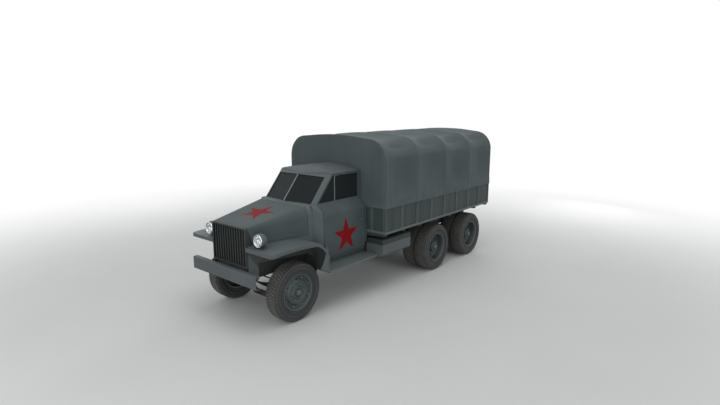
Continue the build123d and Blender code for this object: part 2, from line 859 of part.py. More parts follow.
def cab_lower(side, rear, top):
    """The cab below its belt, less insets at its sides, rear wall and top."""
    section = outline(
        *symmetric(
            (cab_half_width - 55 - side, cab_bottom_z - top),
            (cab_half_width - 12 - side, cab_bottom_z + 130),
            (cab_half_width - side, cab_bottom_z + 300, 300),
            (cab_half_width - 22 - side, belt_z - 150, 110),
            (glass_half_width - side, belt_z - top),
        )
    )
    front, cowl_y, wide = cab_front_x - side, cab_cowl_half_width - side, cab_half_width - side
    half_plan = make_face(
        [
            Line((cab_rear_x + rear, wide), (cab_bend_x, wide)),
            TangentArc((cab_bend_x, wide), (front, cowl_y), tangent=(1, 0)),
            Polyline((front, cowl_y), (front, 0), (cab_rear_x + rear, 0), (cab_rear_x + rear, wide)),
        ]
    )
    plan = half_plan + mirror(half_plan, about=Plane.XZ)
    return along_x(section, cab_rear_x + rear, front) & along_z(plan, 0, far)


def cab_upper(side, rear, top):
    """The cab above its belt: a raked prism under a crowned roof with a rounded brow."""
    foot_z = belt_z - 60
    shift = screen_rake * (belt_z - foot_z)
    plan = outline(
        *[
            (x, y)
            for y, x in symmetric(
                (glass_half_width - side, 0.0),
                (glass_half_width - side, pillar_x + shift - side),
                (screen_side_y - side, screen_side_x + shift - side),
                (0.0, screen_centre_x + shift - side),
            )
        ]
    )
    rake = Vector(-screen_rake, 0, 1)
    prism = extrude(Plane.XY.offset(foot_z) * plan, (far * 1.2 - foot_z) * rake.length, dir=rake)
    edge_y = glass_half_width - side
    crown_face = make_face(
        [
            ThreePointArc((edge_y, roof_edge_z - top), (0, roof_top_z - top), (-edge_y, roof_edge_z - top)),
            Polyline((-edge_y, roof_edge_z - top), (-edge_y, 0), (edge_y, 0), (edge_y, roof_edge_z - top)),
        ]
    ).face()
    for corner_y in (-edge_y, edge_y):
        corner = crown_face.vertices().sort_by_distance((corner_y, roof_edge_z - top, 0))[0]
        crown_face = crown_face.fillet_2d(roof_corner - side / 2, [corner])
    brow = make_face(
        [
            Line((cab_rear_x + rear, roof_top_z - top), (brow_start_x, roof_top_z - top)),
            TangentArc((brow_start_x, roof_top_z - top), (brow_end_x, brow_end_z - top), tangent=(1, 0)),
            Polyline(
                (brow_end_x, brow_end_z - top), (far * 2, brow_end_z - top - 300), (far * 2, 0),
                (cab_rear_x + rear, 0), (cab_rear_x + rear, roof_top_z - top),
            ),
        ]
    )
    roofed = along_x(crown_face, cab_rear_x + rear, far * 2) & along_y(brow, -far, far)
    return prism & roofed


def cab_form(side=0.0, rear=0.0, top=0.0):
    """The whole cab, less insets at its sides, rear wall and top."""
    return cab_lower(side, rear, top) + cab_upper(side, rear, top)


cab_outer = cab_form() - hood_outer
cab_shell = cab_outer - cab_form(cab_wall, rear_wall, roof_skin)


def pillar_line(z, ahead=0.0):
    """Where the windscreen pillar's rear edge is at a height."""
    return pillar_x - screen_rake * (z - belt_z) + ahead


roof = cab_shell & block(0, far * 2, -far, far, roof_joint_z, far * 2)
save("cab_roof", roof)

screen_region = along_y(
    outline(
        (pillar_line(belt_z), belt_z), (cab_front_x, belt_z), (cab_front_x, belt_z - 200),
        (far * 1.2, belt_z - 200), (far * 1.2, roof_joint_z), (pillar_line(roof_joint_z), roof_joint_z),
    ),
    -far,
    far,
)
screen_side_top_z = 2108.0
screen_centre_top_z = 2126.0
screen_bar = 20.0
screen_cuts = [
    along_x(
        outline(
            (side * screen_bar / 2, belt_z + 10),
            (side * (screen_side_y - 12), belt_z + 5),
            (side * (screen_side_y - 12), screen_side_top_z),
            (side * screen_bar / 2, screen_centre_top_z),
        ),
        pillar_x - 460,
        far * 1.2,
    )
    for side in (-1, 1)
]
windscreen_frame = cab_shell & screen_region
for cut in screen_cuts:
    windscreen_frame -= cut
save("windscreen_frame", windscreen_frame)

glass_outer = cab_form(glass_depth, glass_depth, glass_depth)
glass_inner_depth = glass_depth + glass_thickness
glass_sheet = glass_outer - cab_form(glass_inner_depth, glass_inner_depth, glass_inner_depth)
screen_panes = [glass_sheet & cut & screen_region for cut in screen_cuts]

# Rear wall with its window
rear_window_half = 290.0
rear_window_z = 1760.0
rear_window_height = 250.0
cab_back = cab_shell & block(cab_rear_x, cab_rear_x + rear_wall, -far, far, rail_top_z, roof_joint_z)
rear_cut = block(
    cab_rear_x - 1, cab_rear_x + rear_wall + 1, -rear_window_half, rear_window_half,
    rear_window_z, rear_window_z + rear_window_height,
)
save("cab_rear_wall", cab_back - rear_cut)
rear_glass = rear_cut & block(
    cab_rear_x + glass_depth - 3, cab_rear_x + glass_depth + 3, -far, far, 0, far * 2
)
save("cab_glass", *screen_panes, rear_glass)

# Firewall, and the fixed side of the cab below and ahead of each door
firewall = cab_shell & block(cab_front_x - cab_wall, cab_front_x, -far, far, rail_top_z, belt_z)
save("cowl", cowl + firewall)

door_opening = along_y(
    outline(
        (cab_rear_x + rear_wall, door_bottom_z - panel_gap),
        (door_front_x + panel_gap, door_bottom_z - panel_gap),
        (door_front_x + panel_gap, belt_z),
        (pillar_line(belt_z), belt_z),
        (pillar_line(roof_joint_z), roof_joint_z),
        (cab_rear_x + rear_wall, roof_joint_z),
    ),
    0,
    far,
)
side_region = block(cab_rear_x + rear_wall, cab_front_x - cab_wall, 400, far, cab_bottom_z, belt_z)
cab_side = (cab_shell & side_region) - door_opening
save("cab_sides", cab_side, mirrored(cab_side))

# Cab floor with a raised toe board, standing on the rails
toe_x = cab_front_x - cab_wall - 180
toe_z = cab_floor_z + 170
toe_half_width = cab_cowl_half_width - cab_wall - panel_gap
floor_section = along_y(
    outline(
        (cab_rear_x + rear_wall, rail_top_z),
        (toe_x + 12, rail_top_z),
        (cab_front_x - cab_wall, toe_z - 16),
        (cab_front_x - cab_wall, toe_z),
        (toe_x, cab_floor_z),
        (cab_rear_x + rear_wall, cab_floor_z),
    ),
    -far,
    far,
)
cab_floor = floor_section & cab_lower(cab_wall + panel_gap, rear_wall, roof_skin)
cab_floor += floor_section & block(
    cab_rear_x + rear_wall, cab_front_x - cab_wall, -toe_half_width, toe_half_width, 0, far
)

# Doors: the cab's own wall, cut along the opening with gaps, and a window with a fixed vent pane
door_region = along_y(
    outline(
        (door_rear_x, door_bottom_z),
        (door_front_x, door_bottom_z),
        (door_front_x, belt_z + (pillar_x - panel_gap - door_front_x) / screen_rake),
        (pillar_line(door_top_z, -panel_gap), door_top_z),
        (door_rear_x, door_top_z),
    ),
    400,
    far,
)
glass_rear_x = door_rear_x + door_frame
front_foot_x = pillar_line(window_bottom_z, -panel_gap - door_frame - 6)
front_top_x = pillar_line(window_top_z, -panel_gap - door_frame - 6)
vent_rear_x = vent_bar_x + vent_bar_width / 2
window_rear = outline(
    (glass_rear_x, window_bottom_z),
    (vent_bar_x - vent_bar_width / 2, window_bottom_z),
    (vent_bar_x - vent_bar_width / 2, window_top_z - 10),
    (vent_bar_x - 100, window_top_z),
    (glass_rear_x, window_top_z),
)
window_vent = outline(
    (vent_rear_x, window_bottom_z),
    (front_foot_x, window_bottom_z),
    (front_top_x, window_top_z),
    (vent_rear_x, window_top_z),
)
window_cuts = [along_y(window, 400, far) for window in (window_rear, window_vent)]
door = cab_shell & door_region
for cut in window_cuts:
    door -= cut
save_sides("door", door)
for name, shape in (("left", 1), ("right", -1)):
    panes = [glass_sheet & cut for cut in window_cuts]
    panes = panes if shape > 0 else [mirrored(pane) for pane in panes]
    save(f"door_glass_{name}", *panes)

# Cab furniture
seat_half_width = 540.0
seat_rear_x = cab_rear_x + rear_wall + 30
seat_base_z = 1110.0
seat_cushion_height = 140.0
seat_length = 520.0
seat_back_top_z = 1700.0
seat_base = block(
    seat_rear_x, seat_rear_x + seat_length - 60, -seat_half_width + 30, seat_half_width - 30,
    cab_floor_z, seat_base_z,
)
save("cab_floor", cab_floor + seat_base)
cushion = along_y(
    outline(
        (seat_rear_x, seat_base_z),
        (seat_rear_x + seat_length - 20, seat_base_z),
        (seat_rear_x + seat_length, seat_base_z + seat_cushion_height, 50),
        (seat_rear_x, seat_base_z + seat_cushion_height - 30),
    ),
    -seat_half_width,
    seat_half_width,
)
save("seat_cushion", cushion)
seat_back = along_y(
    outline(
        (seat_rear_x, seat_base_z + seat_cushion_height - 30),
        (seat_rear_x + 160, seat_base_z + seat_cushion_height),
        (seat_rear_x + 92, seat_back_top_z, 36),
        (seat_rear_x, seat_back_top_z, 20),
    ),
    -seat_half_width,
    seat_half_width,
)
seat_back -= cushion
save("seat_back", seat_back)

dash_half_width = 560.0
dash_rear_x = 1640.0
dash = along_y(
    outline(
        (dash_rear_x, belt_z - 210, 20),
        (dash_rear_x + 30, belt_z - 46, 24),
        (dash_rear_x + 110, belt_z - 22),
        (cab_front_x - cab_wall, belt_z - 40),
        (cab_front_x - cab_wall, belt_z - 90),
        (dash_rear_x + 90, belt_z - 90),
    ),
    -dash_half_width,
    dash_half_width,
)
save("dashboard", dash)

# Steering column and wheel on the left side of the cab
wheel_centre = (1430.0, 340.0, 1460.0)
column_lean = 50.0  # degrees from level
steering_radius = 215.0
column_radius = 24.0
lean = math.radians(column_lean)
column_dir = Vector(math.cos(lean), 0, -math.sin(lean))
wheel_plane = Plane(origin=wheel_centre, z_dir=column_dir)
column_gap = 52.0  # from the rim's plane to the column's end
column = extrude(wheel_plane.offset(column_gap) * Circle(column_radius), 600)
column -= along_y(
    outline((0, 0), (toe_x, 0), (toe_x, cab_floor_z), (cab_front_x - cab_wall, toe_z), (far * 2, toe_z), (far * 2, 0)),
    0,
    far,
)
column -= dash
save("steering_column", column.solids().sort_by(SortBy.VOLUME)[-1])
ring = RegularPolygon(steering_radius, 32) - RegularPolygon(steering_radius - 26, 32)
steering_wheel = extrude(wheel_plane.offset(-10) * ring, 24)
steering_wheel += extrude(wheel_plane * RegularPolygon(44, 12), column_gap - 2)
for turn in (90, 210, 330):
    spoke = Pos(steering_radius / 2, 0) * Rectangle(steering_radius - 16, 24)
    steering_wheel += extrude(wheel_plane * Rot(0, 0, turn) * spoke, 12)
save("steering_wheel", steering_wheel)

lever_x = gearbox_rear_x + 170
lever_y = -40.0
lever_height = 420.0
lever_lean = 80.0
lever_foot = (lever_x, lever_y, cab_floor_z - 10)
lever_head = (lever_x - lever_lean, lever_y - lever_lean / 4, cab_floor_z + lever_height)
lever = rod(lever_foot, lever_head, 11, 8) + Pos(*lever_head) * Cylinder(24, 44) - cab_floor
pedal_z = cab_floor_z + 150
throttle_y, brake_y, clutch_y = 200.0, 430.0, 520.0
pedals = [
    block(toe_x + 30, toe_x + 44, y - 34, y + 34, pedal_z, pedal_z + 80)
    + (rod((toe_x + 40, y, pedal_z + 40), (toe_x + 170, y, pedal_z - 30), 9, 6)
       - floor_section - firewall)
    for y in (throttle_y, brake_y, clutch_y)
]
pedals = [pedal.solids().sort_by(SortBy.VOLUME)[-1] for pedal in pedals]
save("cab_controls", lever, *pedals)

# Fuel tank on the left and tool box on the right, each on two brackets
tank_inner_y = canvas_half_width - 70 - tank_width
tank_outer_y = tank_inner_y + tank_width
tank_section = outline(
    (tank_inner_y, tank_bottom_z, tank_radius),
    (tank_outer_y, tank_bottom_z, tank_radius),
    (tank_outer_y, tank_bottom_z + tank_height, tank_radius),
    (tank_inner_y, tank_bottom_z + tank_height, tank_radius),
)
tank = along_x(tank_section, tank_front_x - tank_length, tank_front_x)
save("fuel_tank", tank)
side_box = block(
    tank_front_x - side_box_length, tank_front_x, -tank_outer_y, -tank_inner_y,
    tank_bottom_z, tank_bottom_z + tank_height,
)
save("tool_box", side_box)
bracket_section = outline(
    (rail_y, rail_bottom_z), (rail_y, rail_top_z - 20), (tank_inner_y, rail_top_z - 20), (tank_inner_y, rail_bottom_z)
)
brackets = []
for bracket_x in (tank_front_x - 130, tank_front_x - side_box_length + 130):
    bracket = along_x(bracket_section, bracket_x - 25, bracket_x + 25)
    brackets += [bracket - tank, mirrored(bracket)]
for bracket in brackets:
    frame += bracket
save("frame", frame)

# Cargo bed: sills on the rails, cross bearers, floor, boarded sides and a hinged tailgate
sill = block(
    bed_rear_x + 40, bed_front_x, rail_y - rail_flange, rail_y, rail_top_z, bed_bearer_z
)
bed_frame = sill + mirrored(sill)
bearer_count = 8
bearer_pitch = (bed_front_x - bed_rear_x - bearer_width) / (bearer_count - 1)
bearers = [
    along_x(
        outline(
            *symmetric(
                (rail_y + 40, bed_bearer_z),
                (bed_half_width - 30, bed_floor_z - bearer_height / 2),
                (bed_half_width - 30, bed_floor_z),
            )
        ),
        bed_front_x - bearer_width - place * bearer_pitch,
        bed_front_x - place * bearer_pitch,
    )
    for place in range(bearer_count)
]
for bearer in bearers:
    bed_frame += bearer
save("bed_frame", bed_frame)
rebate = 2.0  # the floor's rim is cut down this far for the boards
rim_width = plank + batten + rebate
rim_top_z = bed_top_z - rebate
bed_floor = block(bed_rear_x, bed_front_x, -bed_half_width, bed_half_width, bed_floor_z, rim_top_z)
bed_floor += block(
    bed_rear_x + rim_width,
    bed_front_x - rim_width,
    rim_width - bed_half_width,
    bed_half_width - rim_width,
    rim_top_z,
    bed_top_z,
)
save("bed_floor", bed_floor)

board_face_y = bed_half_width - batten
board_inner = board_face_y - plank
batten_count = int(round((bed_front_x - bed_rear_x) / batten_pitch)) + 1
side_board = block(bed_rear_x, bed_front_x, board_inner, board_face_y, rim_top_z, board_top_z)
for place in range(batten_count):
    middle = bed_front_x - place * (bed_front_x - bed_rear_x) / (batten_count - 1)
    start = max(middle - batten_width / 2, bed_rear_x)
    end = min(middle + batten_width / 2, bed_front_x)
    side_board += block(start, end, board_face_y, bed_half_width, rim_top_z, board_top_z)
save("side_boards", side_board, mirrored(side_board))

front_board = block(
    bed_front_x - batten - plank, bed_front_x - batten, -board_inner, board_inner, rim_top_z, board_top_z
)
front_battens = 4
for place in range(-front_battens, front_battens + 1):
    middle = place * board_inner / front_battens
    start = max(middle - batten_width / 2, -board_inner)
    end = min(middle + batten_width / 2, board_inner)
    front_board += block(bed_front_x - batten, bed_front_x, start, end, rim_top_z, board_top_z)
save("front_board", front_board)

gate_half_width = board_inner - tailgate_gap
gate_top_z = board_top_z - 12
gate_bottom_z = bed_top_z + tailgate_gap
tailgate = block(bed_rear_x + batten, bed_rear_x + batten + plank, -gate_half_width, gate_half_width, gate_bottom_z, gate_top_z)
for place in range(5):
    middle = (place / 2 - 1) * (gate_half_width - batten_width / 2)
    tailgate += block(
        bed_rear_x, bed_rear_x + batten, middle - batten_width / 2, middle + batten_width / 2,
        gate_bottom_z, gate_top_z,
    )
save("tailgate", tailgate)


# Tilt: the canvas, and the bows under it, each two posts on the side boards and a bent hoop on them
def tilt_section(inset, foot_z):
    """The tilt's outline from the rear, less an inset, down to a foot."""
    return outline(
        *symmetric(
            (canvas_half_width - inset, foot_z),
            (canvas_half_width - inset, canvas_side_z - inset, canvas_corner - inset),
            (0.0, ridge_z - inset, ridge_radius - inset),
        )
    )


canvas = along_x(tilt_section(0, canvas_bottom_z), bed_rear_x, bed_front_x)
canvas -= along_x(
    tilt_section(canvas_thickness, canvas_bottom_z - 10), bed_rear_x - 10, bed_front_x - canvas_thickness
)
save("canvas_tilt", canvas)

bow_front_x = bed_front_x - canvas_thickness
bow_pitch = (bow_front_x - bed_rear_x - bow_width) / (bow_count - 1)
bow_bends = 5  # straight lengths that make up a bow's corner
bow_corner_y = canvas_half_width - canvas_corner
bow_corner_z = canvas_side_z + canvas_corner * (roof_slope - math.hypot(1, roof_slope))
bow_turn = math.pi / 2 - math.atan(roof_slope)


def bow_section(inset, foot_z):
    """A bow's outline, whose corners are bent in short straight lengths."""
    radius = canvas_corner - inset
    corner = []
    for bend in range(bow_bends + 1):
        turn = bow_turn * bend / bow_bends
        corner.append((bow_corner_y + radius * math.cos(turn), bow_corner_z + radius * math.sin(turn)))
    return outline(*symmetric((canvas_half_width - inset, foot_z), *corner, (0.0, ridge_z - inset, ridge_radius - inset)))


bow_inset = canvas_thickness + 2
bow_face = bow_section(bow_inset, board_top_z) - bow_section(bow_inset + bow_depth, board_top_z - 10)
bows = []
for place in range(bow_count):
    front_x = bow_front_x - place * bow_pitch
    bow = along_x(bow_face, front_x - bow_width, front_x)
    hoop = bow & block(-far * 2, far * 2, -far, far, bow_corner_z, far * 2)
    bows += [hoop, *(bow - hoop).solids()]
save("bows", *bows)

# Tail lamps under the rear of the bed
tail_lamp_y = 820.0
tail_lamp = block(
    bed_rear_x + 6, bed_rear_x + 56, tail_lamp_y - 60, tail_lamp_y + 60,
    bed_floor_z - bearer_height - 50, bed_floor_z - 20,
)
tail_lamp -= bearers[-1]
save("tail_lamps", tail_lamp, mirrored(tail_lamp))

# Exhaust on the right: a pipe with a silencer, hung from a crossmember
pipe_y = -rail_y + rail_flange + 60
pipe_z = rail_bottom_z - 92
pipe_radius = 26.0
silencer_radius = 84.0
silencer_length = 600.0
silencer_lead = 700.0  # of the silencer ahead of the crossmember that carries it
tail_pipe_run = 860.0
silencer_front_x = crossmembers_x[2] + silencer_lead
pipe_front_x = engine_rear_x + 40
pipe_end_x = crossmembers_x[2] - tail_pipe_run
exhaust = rod((pipe_front_x, pipe_y, pipe_z), (pipe_end_x, pipe_y, pipe_z), pipe_radius, 12)
exhaust += rod(
    (pipe_front_x, pipe_y, pipe_z - pipe_radius), (pipe_front_x, pipe_y, engine_bottom_z + 330), pipe_radius, 12
)
exhaust += rod(
    (silencer_front_x, pipe_y, pipe_z), (silencer_front_x - silencer_length, pipe_y, pipe_z), silencer_radius, 16
)
for hanger_x in (crossmembers_x[1], crossmembers_x[2]):
    exhaust += block(
        hanger_x - crossmember_width / 2, hanger_x - crossmember_width / 2 + rail_wall,
        pipe_y - 15, pipe_y + 15, pipe_z, rail_top_z - rail_wall - crossmember_height,
    )
exhaust -= engine
save("exhaust", exhaust.solids().sort_by(SortBy.VOLUME)[-1])


# Wheels
def tyre(middle):
    """A tyre about the Y axis: a band with flats, its shoulders cut off and its bore on the rim."""
    half = tyre_width / 2
    band = turned(
        [
            (middle - half, tyre_radius - tyre_shoulder),
            (middle - half + tyre_shoulder, tyre_radius),
            (middle + half - tyre_shoulder, tyre_radius),
            (middle + half, tyre_radius - tyre_shoulder),
        ]
    )
    return band - turned([(middle - half - 1, rim_radius), (middle + half + 1, rim_radius)])


front_rim_back = wheel_y - tyre_width / 2 + rim_inset
front_rim_face = wheel_y + tyre_width / 2 - rim_inset
disc_y = front_rim_face - 30
drum_radius = 190.0
disc_flat_count = 16
barrel_inner = rim_radius - rim_lip
front_rim = turned([(front_rim_back, rim_radius), (front_rim_face, rim_radius)])
front_rim -= turned([(disc_y, barrel_inner), (front_rim_face + 1, barrel_inner)], disc_flat_count)
front_rim -= turned([(front_rim_back - 1, barrel_inner), (disc_y - 16, barrel_inner)], disc_flat_count)
front_rim += turned([(disc_y - 4, 218), (disc_y + 42, 128)], disc_flat_count)
front_rim += turned([(disc_y + 36, 78), (disc_y + 70, 64)], disc_flat_count)
front_drum_y = knuckle_web_y + 26 + turning_gap
front_rim += turned([(front_drum_y, drum_radius), (disc_y - 10, drum_radius)], disc_flat_count)
front_rim -= rod((0, front_drum_y - 1, 0), (0, spindle_end_y + 4, 0), spindle_radius + hub_clearance)
place_front = Pos(front_axle_x, 0, axle_z)
front_tyre = place_front * tyre(wheel_y)
front_rim = place_front * front_rim
save_sides("tyre_front", front_tyre)
save_sides("rim_front", front_rim)

outer_y = twin_y + twin_spacing / 2
inner_y = twin_y - twin_spacing / 2
twin_face = outer_y + tyre_width / 2 - rim_inset
twin_back = inner_y - tyre_width / 2 + rim_inset
dish_y = twin_y + 26
twin_rim = turned([(twin_back, rim_radius), (twin_face, rim_radius)])
twin_rim -= turned([(dish_y, barrel_inner - 34), (twin_face + 1, barrel_inner)], disc_flat_count)
twin_rim -= turned([(twin_back - 1, barrel_inner), (dish_y - 40, barrel_inner)], disc_flat_count)
twin_rim += turned([(dish_y - 10, 96), (dish_y + 150, 84)], disc_flat_count)
twin_rim += turned([(drum_inner_y, drum_radius), (dish_y - 20, drum_radius)], disc_flat_count)
twin_rim -= rod((0, drum_inner_y - 1, 0), (0, rear_spindle_end_y + 4, 0), rear_spindle_radius + hub_clearance)
for number, axle_x in enumerate(rear_axles_x, start=1):
    place = Pos(axle_x, 0, axle_z)
    tyres = [place * tyre(outer_y), place * tyre(inner_y)]
    save(f"tyres_rear_{number}_left", *tyres)
    save(f"tyres_rear_{number}_right", *[mirrored(one) for one in tyres])
    save_sides(f"rim_rear_{number}", place * twin_rim)
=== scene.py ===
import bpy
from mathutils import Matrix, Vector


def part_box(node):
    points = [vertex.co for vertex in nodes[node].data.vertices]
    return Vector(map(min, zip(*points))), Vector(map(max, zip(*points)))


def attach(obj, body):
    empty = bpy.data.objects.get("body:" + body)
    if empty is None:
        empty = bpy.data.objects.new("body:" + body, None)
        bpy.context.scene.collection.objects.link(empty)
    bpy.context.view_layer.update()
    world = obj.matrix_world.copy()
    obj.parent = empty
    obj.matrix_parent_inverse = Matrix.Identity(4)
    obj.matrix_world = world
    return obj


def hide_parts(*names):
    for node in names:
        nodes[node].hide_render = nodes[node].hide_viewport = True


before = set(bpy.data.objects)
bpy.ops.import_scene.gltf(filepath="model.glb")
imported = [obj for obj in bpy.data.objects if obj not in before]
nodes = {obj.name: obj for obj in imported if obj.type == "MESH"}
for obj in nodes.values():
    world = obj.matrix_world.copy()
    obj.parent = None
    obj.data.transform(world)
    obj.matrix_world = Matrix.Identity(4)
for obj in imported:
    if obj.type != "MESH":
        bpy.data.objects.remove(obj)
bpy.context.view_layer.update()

import math
from functools import partialmethod

import bmesh
import bpy
from mathutils import Matrix, Vector, noise


# View: the camera stands ahead of the truck on its left, a little above the canvas.
# The floor is a plain pale sheet, and the light is soft and comes from above and all round.
eye = Vector((7.195, 6.144, 3.228))
turn, dip = math.radians(220.449), math.radians(-10.976)
gaze = Vector((math.cos(dip) * math.cos(turn), math.cos(dip) * math.sin(turn), math.sin(dip)))
camera = bpy.data.objects.new("camera", bpy.data.cameras.new("camera"))
camera.data.sensor_width = 36
camera.data.lens = 24.445
camera.data.clip_end = 200
camera.location = eye
camera.rotation_euler = gaze.to_track_quat("-Z", "Y").to_euler()
bpy.context.scene.collection.objects.link(camera)
bpy.context.scene.camera = camera
bpy.context.scene.view_settings.view_transform = "Standard"

# Each lamp is a disc: (name, place, aim, size, power)
for name, place, aim, size, power in (
    ("sky_lamp", (1.0, 2.0, 11.0), (0.0, 0.0, 1.0), 9.0, 215),
    ("front_lamp", (11.0, 2.0, 6.0), (1.0, 0.0, 1.0), 6.0, 175),
    ("side_lamp", (0.5, 12.0, 6.0), (0.0, 0.0, 1.2), 6.0, 70),
    ("low_lamp", (9.0, 7.0, 1.6), (0.5, 0.5, 0.7), 3.0, 72),
    ("rear_lamp", (-11.0, -5.0, 7.0), (0.0, 0.0, 1.0), 7.0, 170),
    ("low_rear_lamp", (-10.5, 2.0, 2.4), (-2.0, 0.0, 1.4), 4.0, 110),
    ("far_side_lamp", (-1.0, -11.0, 4.0), (0.0, 0.0, 1.0), 5.0, 110),
):
    light = bpy.data.lights.new(name, "AREA")
    light.shape = "DISK"
    light.size = size
    light.energy = power
    holder = bpy.data.objects.new(name, light)
    holder.location = place
    holder.rotation_euler = (Vector(aim) - Vector(place)).to_track_quat("-Z", "Y").to_euler()
    bpy.context.scene.collection.objects.link(holder)


def tone(red, green, blue):
    """A colour as it looks on a screen, 0 to 255, in the linear values that shaders use."""
    linear = []
    for level in (red, green, blue):
        share = level / 255
        linear.append(share / 12.92 if share <= 0.04045 else ((share + 0.055) / 1.055) ** 2.4)
    return (*linear, 1.0)


class Signal:
    """An output of a node, with arithmetic that adds Math nodes to its tree."""

    def __init__(self, wiring, socket):
        self.wiring = wiring
        self.socket = socket

    def maths(self, operation, *others):
        values = dict(enumerate((self, *others)))
        return self.wiring.add("ShaderNodeMath", {"operation": operation}, values)

    def __rsub__(self, other):
        return (self * -1).maths("ADD", other)

    __add__ = __radd__ = partialmethod(maths, "ADD")
    __sub__ = partialmethod(maths, "SUBTRACT")
    __mul__ = __rmul__ = partialmethod(maths, "MULTIPLY")
    __truediv__ = partialmethod(maths, "DIVIDE")
    __gt__ = partialmethod(maths, "GREATER_THAN")
    __lt__ = partialmethod(maths, "LESS_THAN")


def distance(across, along):
    """How far off a point is, from its two parts."""
    return (across * across + along * along).maths("SQRT")


class Wiring:
    """A node tree under construction."""

    def __init__(self, tree):
        self.tree = tree

    def add(self, kind, settings=None, values=None, output=0):
        """A node from its type, its settings and its sockets' values or links."""
        node = self.tree.nodes.new(kind)
        for name, setting in (settings or {}).items():
            setattr(node, name, setting)
        for name, value in (values or {}).items():
            if isinstance(value, Signal):
                self.tree.links.new(value.socket, node.inputs[name])
            else:
                node.inputs[name].default_value = value
        return Signal(self, node.outputs[output])

    def mix(self, share, first, second):
        """A colour between two; a colour Mix has them in sockets 6 and 7."""
        values = {0: share, 6: first, 7: second}
        return self.add("ShaderNodeMix", {"data_type": "RGBA"}, values, output=2)


class Finish(Wiring):
    """A material under construction: its node tree and its main shader."""

    def __init__(self, name, roughness=0.6, metallic=0.0):
        self.material = bpy.data.materials.new(name)
        self.material.use_nodes = True
        super().__init__(self.material.node_tree)
        self.shader = self.tree.nodes["Principled BSDF"]
        self.shader.inputs["Roughness"].default_value = roughness
        self.shader.inputs["Metallic"].default_value = metallic

    def place(self):
        """The point on the object, in metres, whole and as three signals."""
        point = self.add("ShaderNodeTexCoord", output="Object")
        split = self.add("ShaderNodeSeparateXYZ", values={"Vector": point})
        outputs = split.socket.node.outputs
        return point, [Signal(self, outputs[axis]) for axis in "XYZ"]

    def upward(self):
        """The upward part of the surface's normal."""
        facing = self.add("ShaderNodeNewGeometry", output="Normal")
        return self.add("ShaderNodeSeparateXYZ", values={"Vector": facing}, output="Z")

    def clouds(self, scale, detail=3.0, stretch=(1, 1, 1)):
        """Soft noise between 0 and 1 over the object's own space."""
        point, _ = self.place()
        mapped = self.add("ShaderNodeMapping", values={"Vector": point, "Scale": stretch})
        values = {"Vector": mapped, "Scale": scale, "Detail": detail}
        return self.add("ShaderNodeTexNoise", values=values)

    def band(self, value, low, high):
        """0 below low, 1 above high, and a smooth rise between."""
        settings = {"interpolation_type": "SMOOTHSTEP"}
        values = {"Value": value, "From Min": low, "From Max": high}
        return self.add("ShaderNodeMapRange", settings, values)

    def patches(self, scale, detail, low, high, stretch=(1, 1, 1)):
        """Clouds with their edges drawn in: 0 where they are under low, 1 where over high."""
        return self.band(self.clouds(scale, detail, stretch), low, high)

    def line(self, value, middle, near, far):
        """1 within near of a middle value, fading to 0 at far from it."""
        return 1 - self.band((value - middle).maths("ABSOLUTE"), near, far)

    def drive(self, name, signal):
        self.tree.links.new(signal.socket, self.shader.inputs[name])

    def tint(self, share, first, second):
        """The base colour, as a mix."""
        self.drive("Base Color", self.mix(share, first, second))

    def relief(self, height, distance, strength=1.0):
        """Bumps from a height signal; distance is in metres."""
        values = {"Height": height, "Distance": distance, "Strength": strength}
        self.drive("Normal", self.add("ShaderNodeBump", values=values))


# Floor and sky: far from the truck the floor fades to white for the camera. What the camera,
# mirrors and clear glass see of the sky is white too, and its light is a cooler grey.
reach = 60
floor_mesh = bpy.data.meshes.new("floor")
corners = [(-reach, -reach, 0), (reach, -reach, 0), (reach, reach, 0), (-reach, reach, 0)]
floor_mesh.from_pydata(corners, [], [(0, 1, 2, 3)])
floor = bpy.data.objects.new("floor", floor_mesh)
bpy.context.scene.collection.objects.link(floor)
floor_finish = Finish("floor_pale", roughness=0.9)
grain = floor_finish.clouds(0.6)
floor_finish.tint(grain, tone(214, 214, 212), tone(222, 222, 220))
_, (floor_x, floor_y, _) = floor_finish.place()
fading = floor_finish.band(distance(floor_x, floor_y), 4.5, 13.0)
fading *= floor_finish.add("ShaderNodeLightPath")
white_glow = floor_finish.add("ShaderNodeEmission", values={"Color": (1, 1, 1, 1), "Strength": 1.0})
plain_floor = Signal(floor_finish, floor_finish.shader.outputs[0])
blended = floor_finish.add("ShaderNodeMixShader", values={0: fading, 1: plain_floor, 2: white_glow})
floor_surface = floor_finish.tree.nodes["Material Output"].inputs["Surface"]
floor_finish.tree.links.new(blended.socket, floor_surface)
floor_mesh.materials.append(floor_finish.material)

world = bpy.data.worlds.new("studio")
world.use_nodes = True
bpy.context.scene.world = world
sky = Wiring(world.node_tree)
kinds = ("Camera", "Glossy", "Transmission")
rays = [sky.add("ShaderNodeLightPath", output=f"Is {kind} Ray") for kind in kinds]
white_share = rays[0].maths("MAXIMUM", rays[1]).maths("MAXIMUM", rays[2])
sky_colour = sky.mix(white_share, tone(184, 187, 190), (1, 1, 1, 1))
sky.tree.links.new(sky_colour.socket, sky.tree.nodes["Background"].inputs["Color"])


# Shapes: a mesh is laid in rows of vertices, turned about the Y axis or run along a bar, and
# stands on the body that carries it.
def lay_faces(shape, rows, ring=False, hoop=False, caps=False):
    """Faces between rows; ring closes each row, hoop joins last to first, caps shut both ends."""
    for near, beyond in zip(rows, rows[1:] + rows[:1] if hoop else rows[1:]):
        for k in range(0 if ring else 1, len(near)):
            shape.faces.new((near[k - 1], near[k], beyond[k], beyond[k - 1]))
    if caps:
        shape.faces.new(rows[0][::-1])
        shape.faces.new(rows[-1])


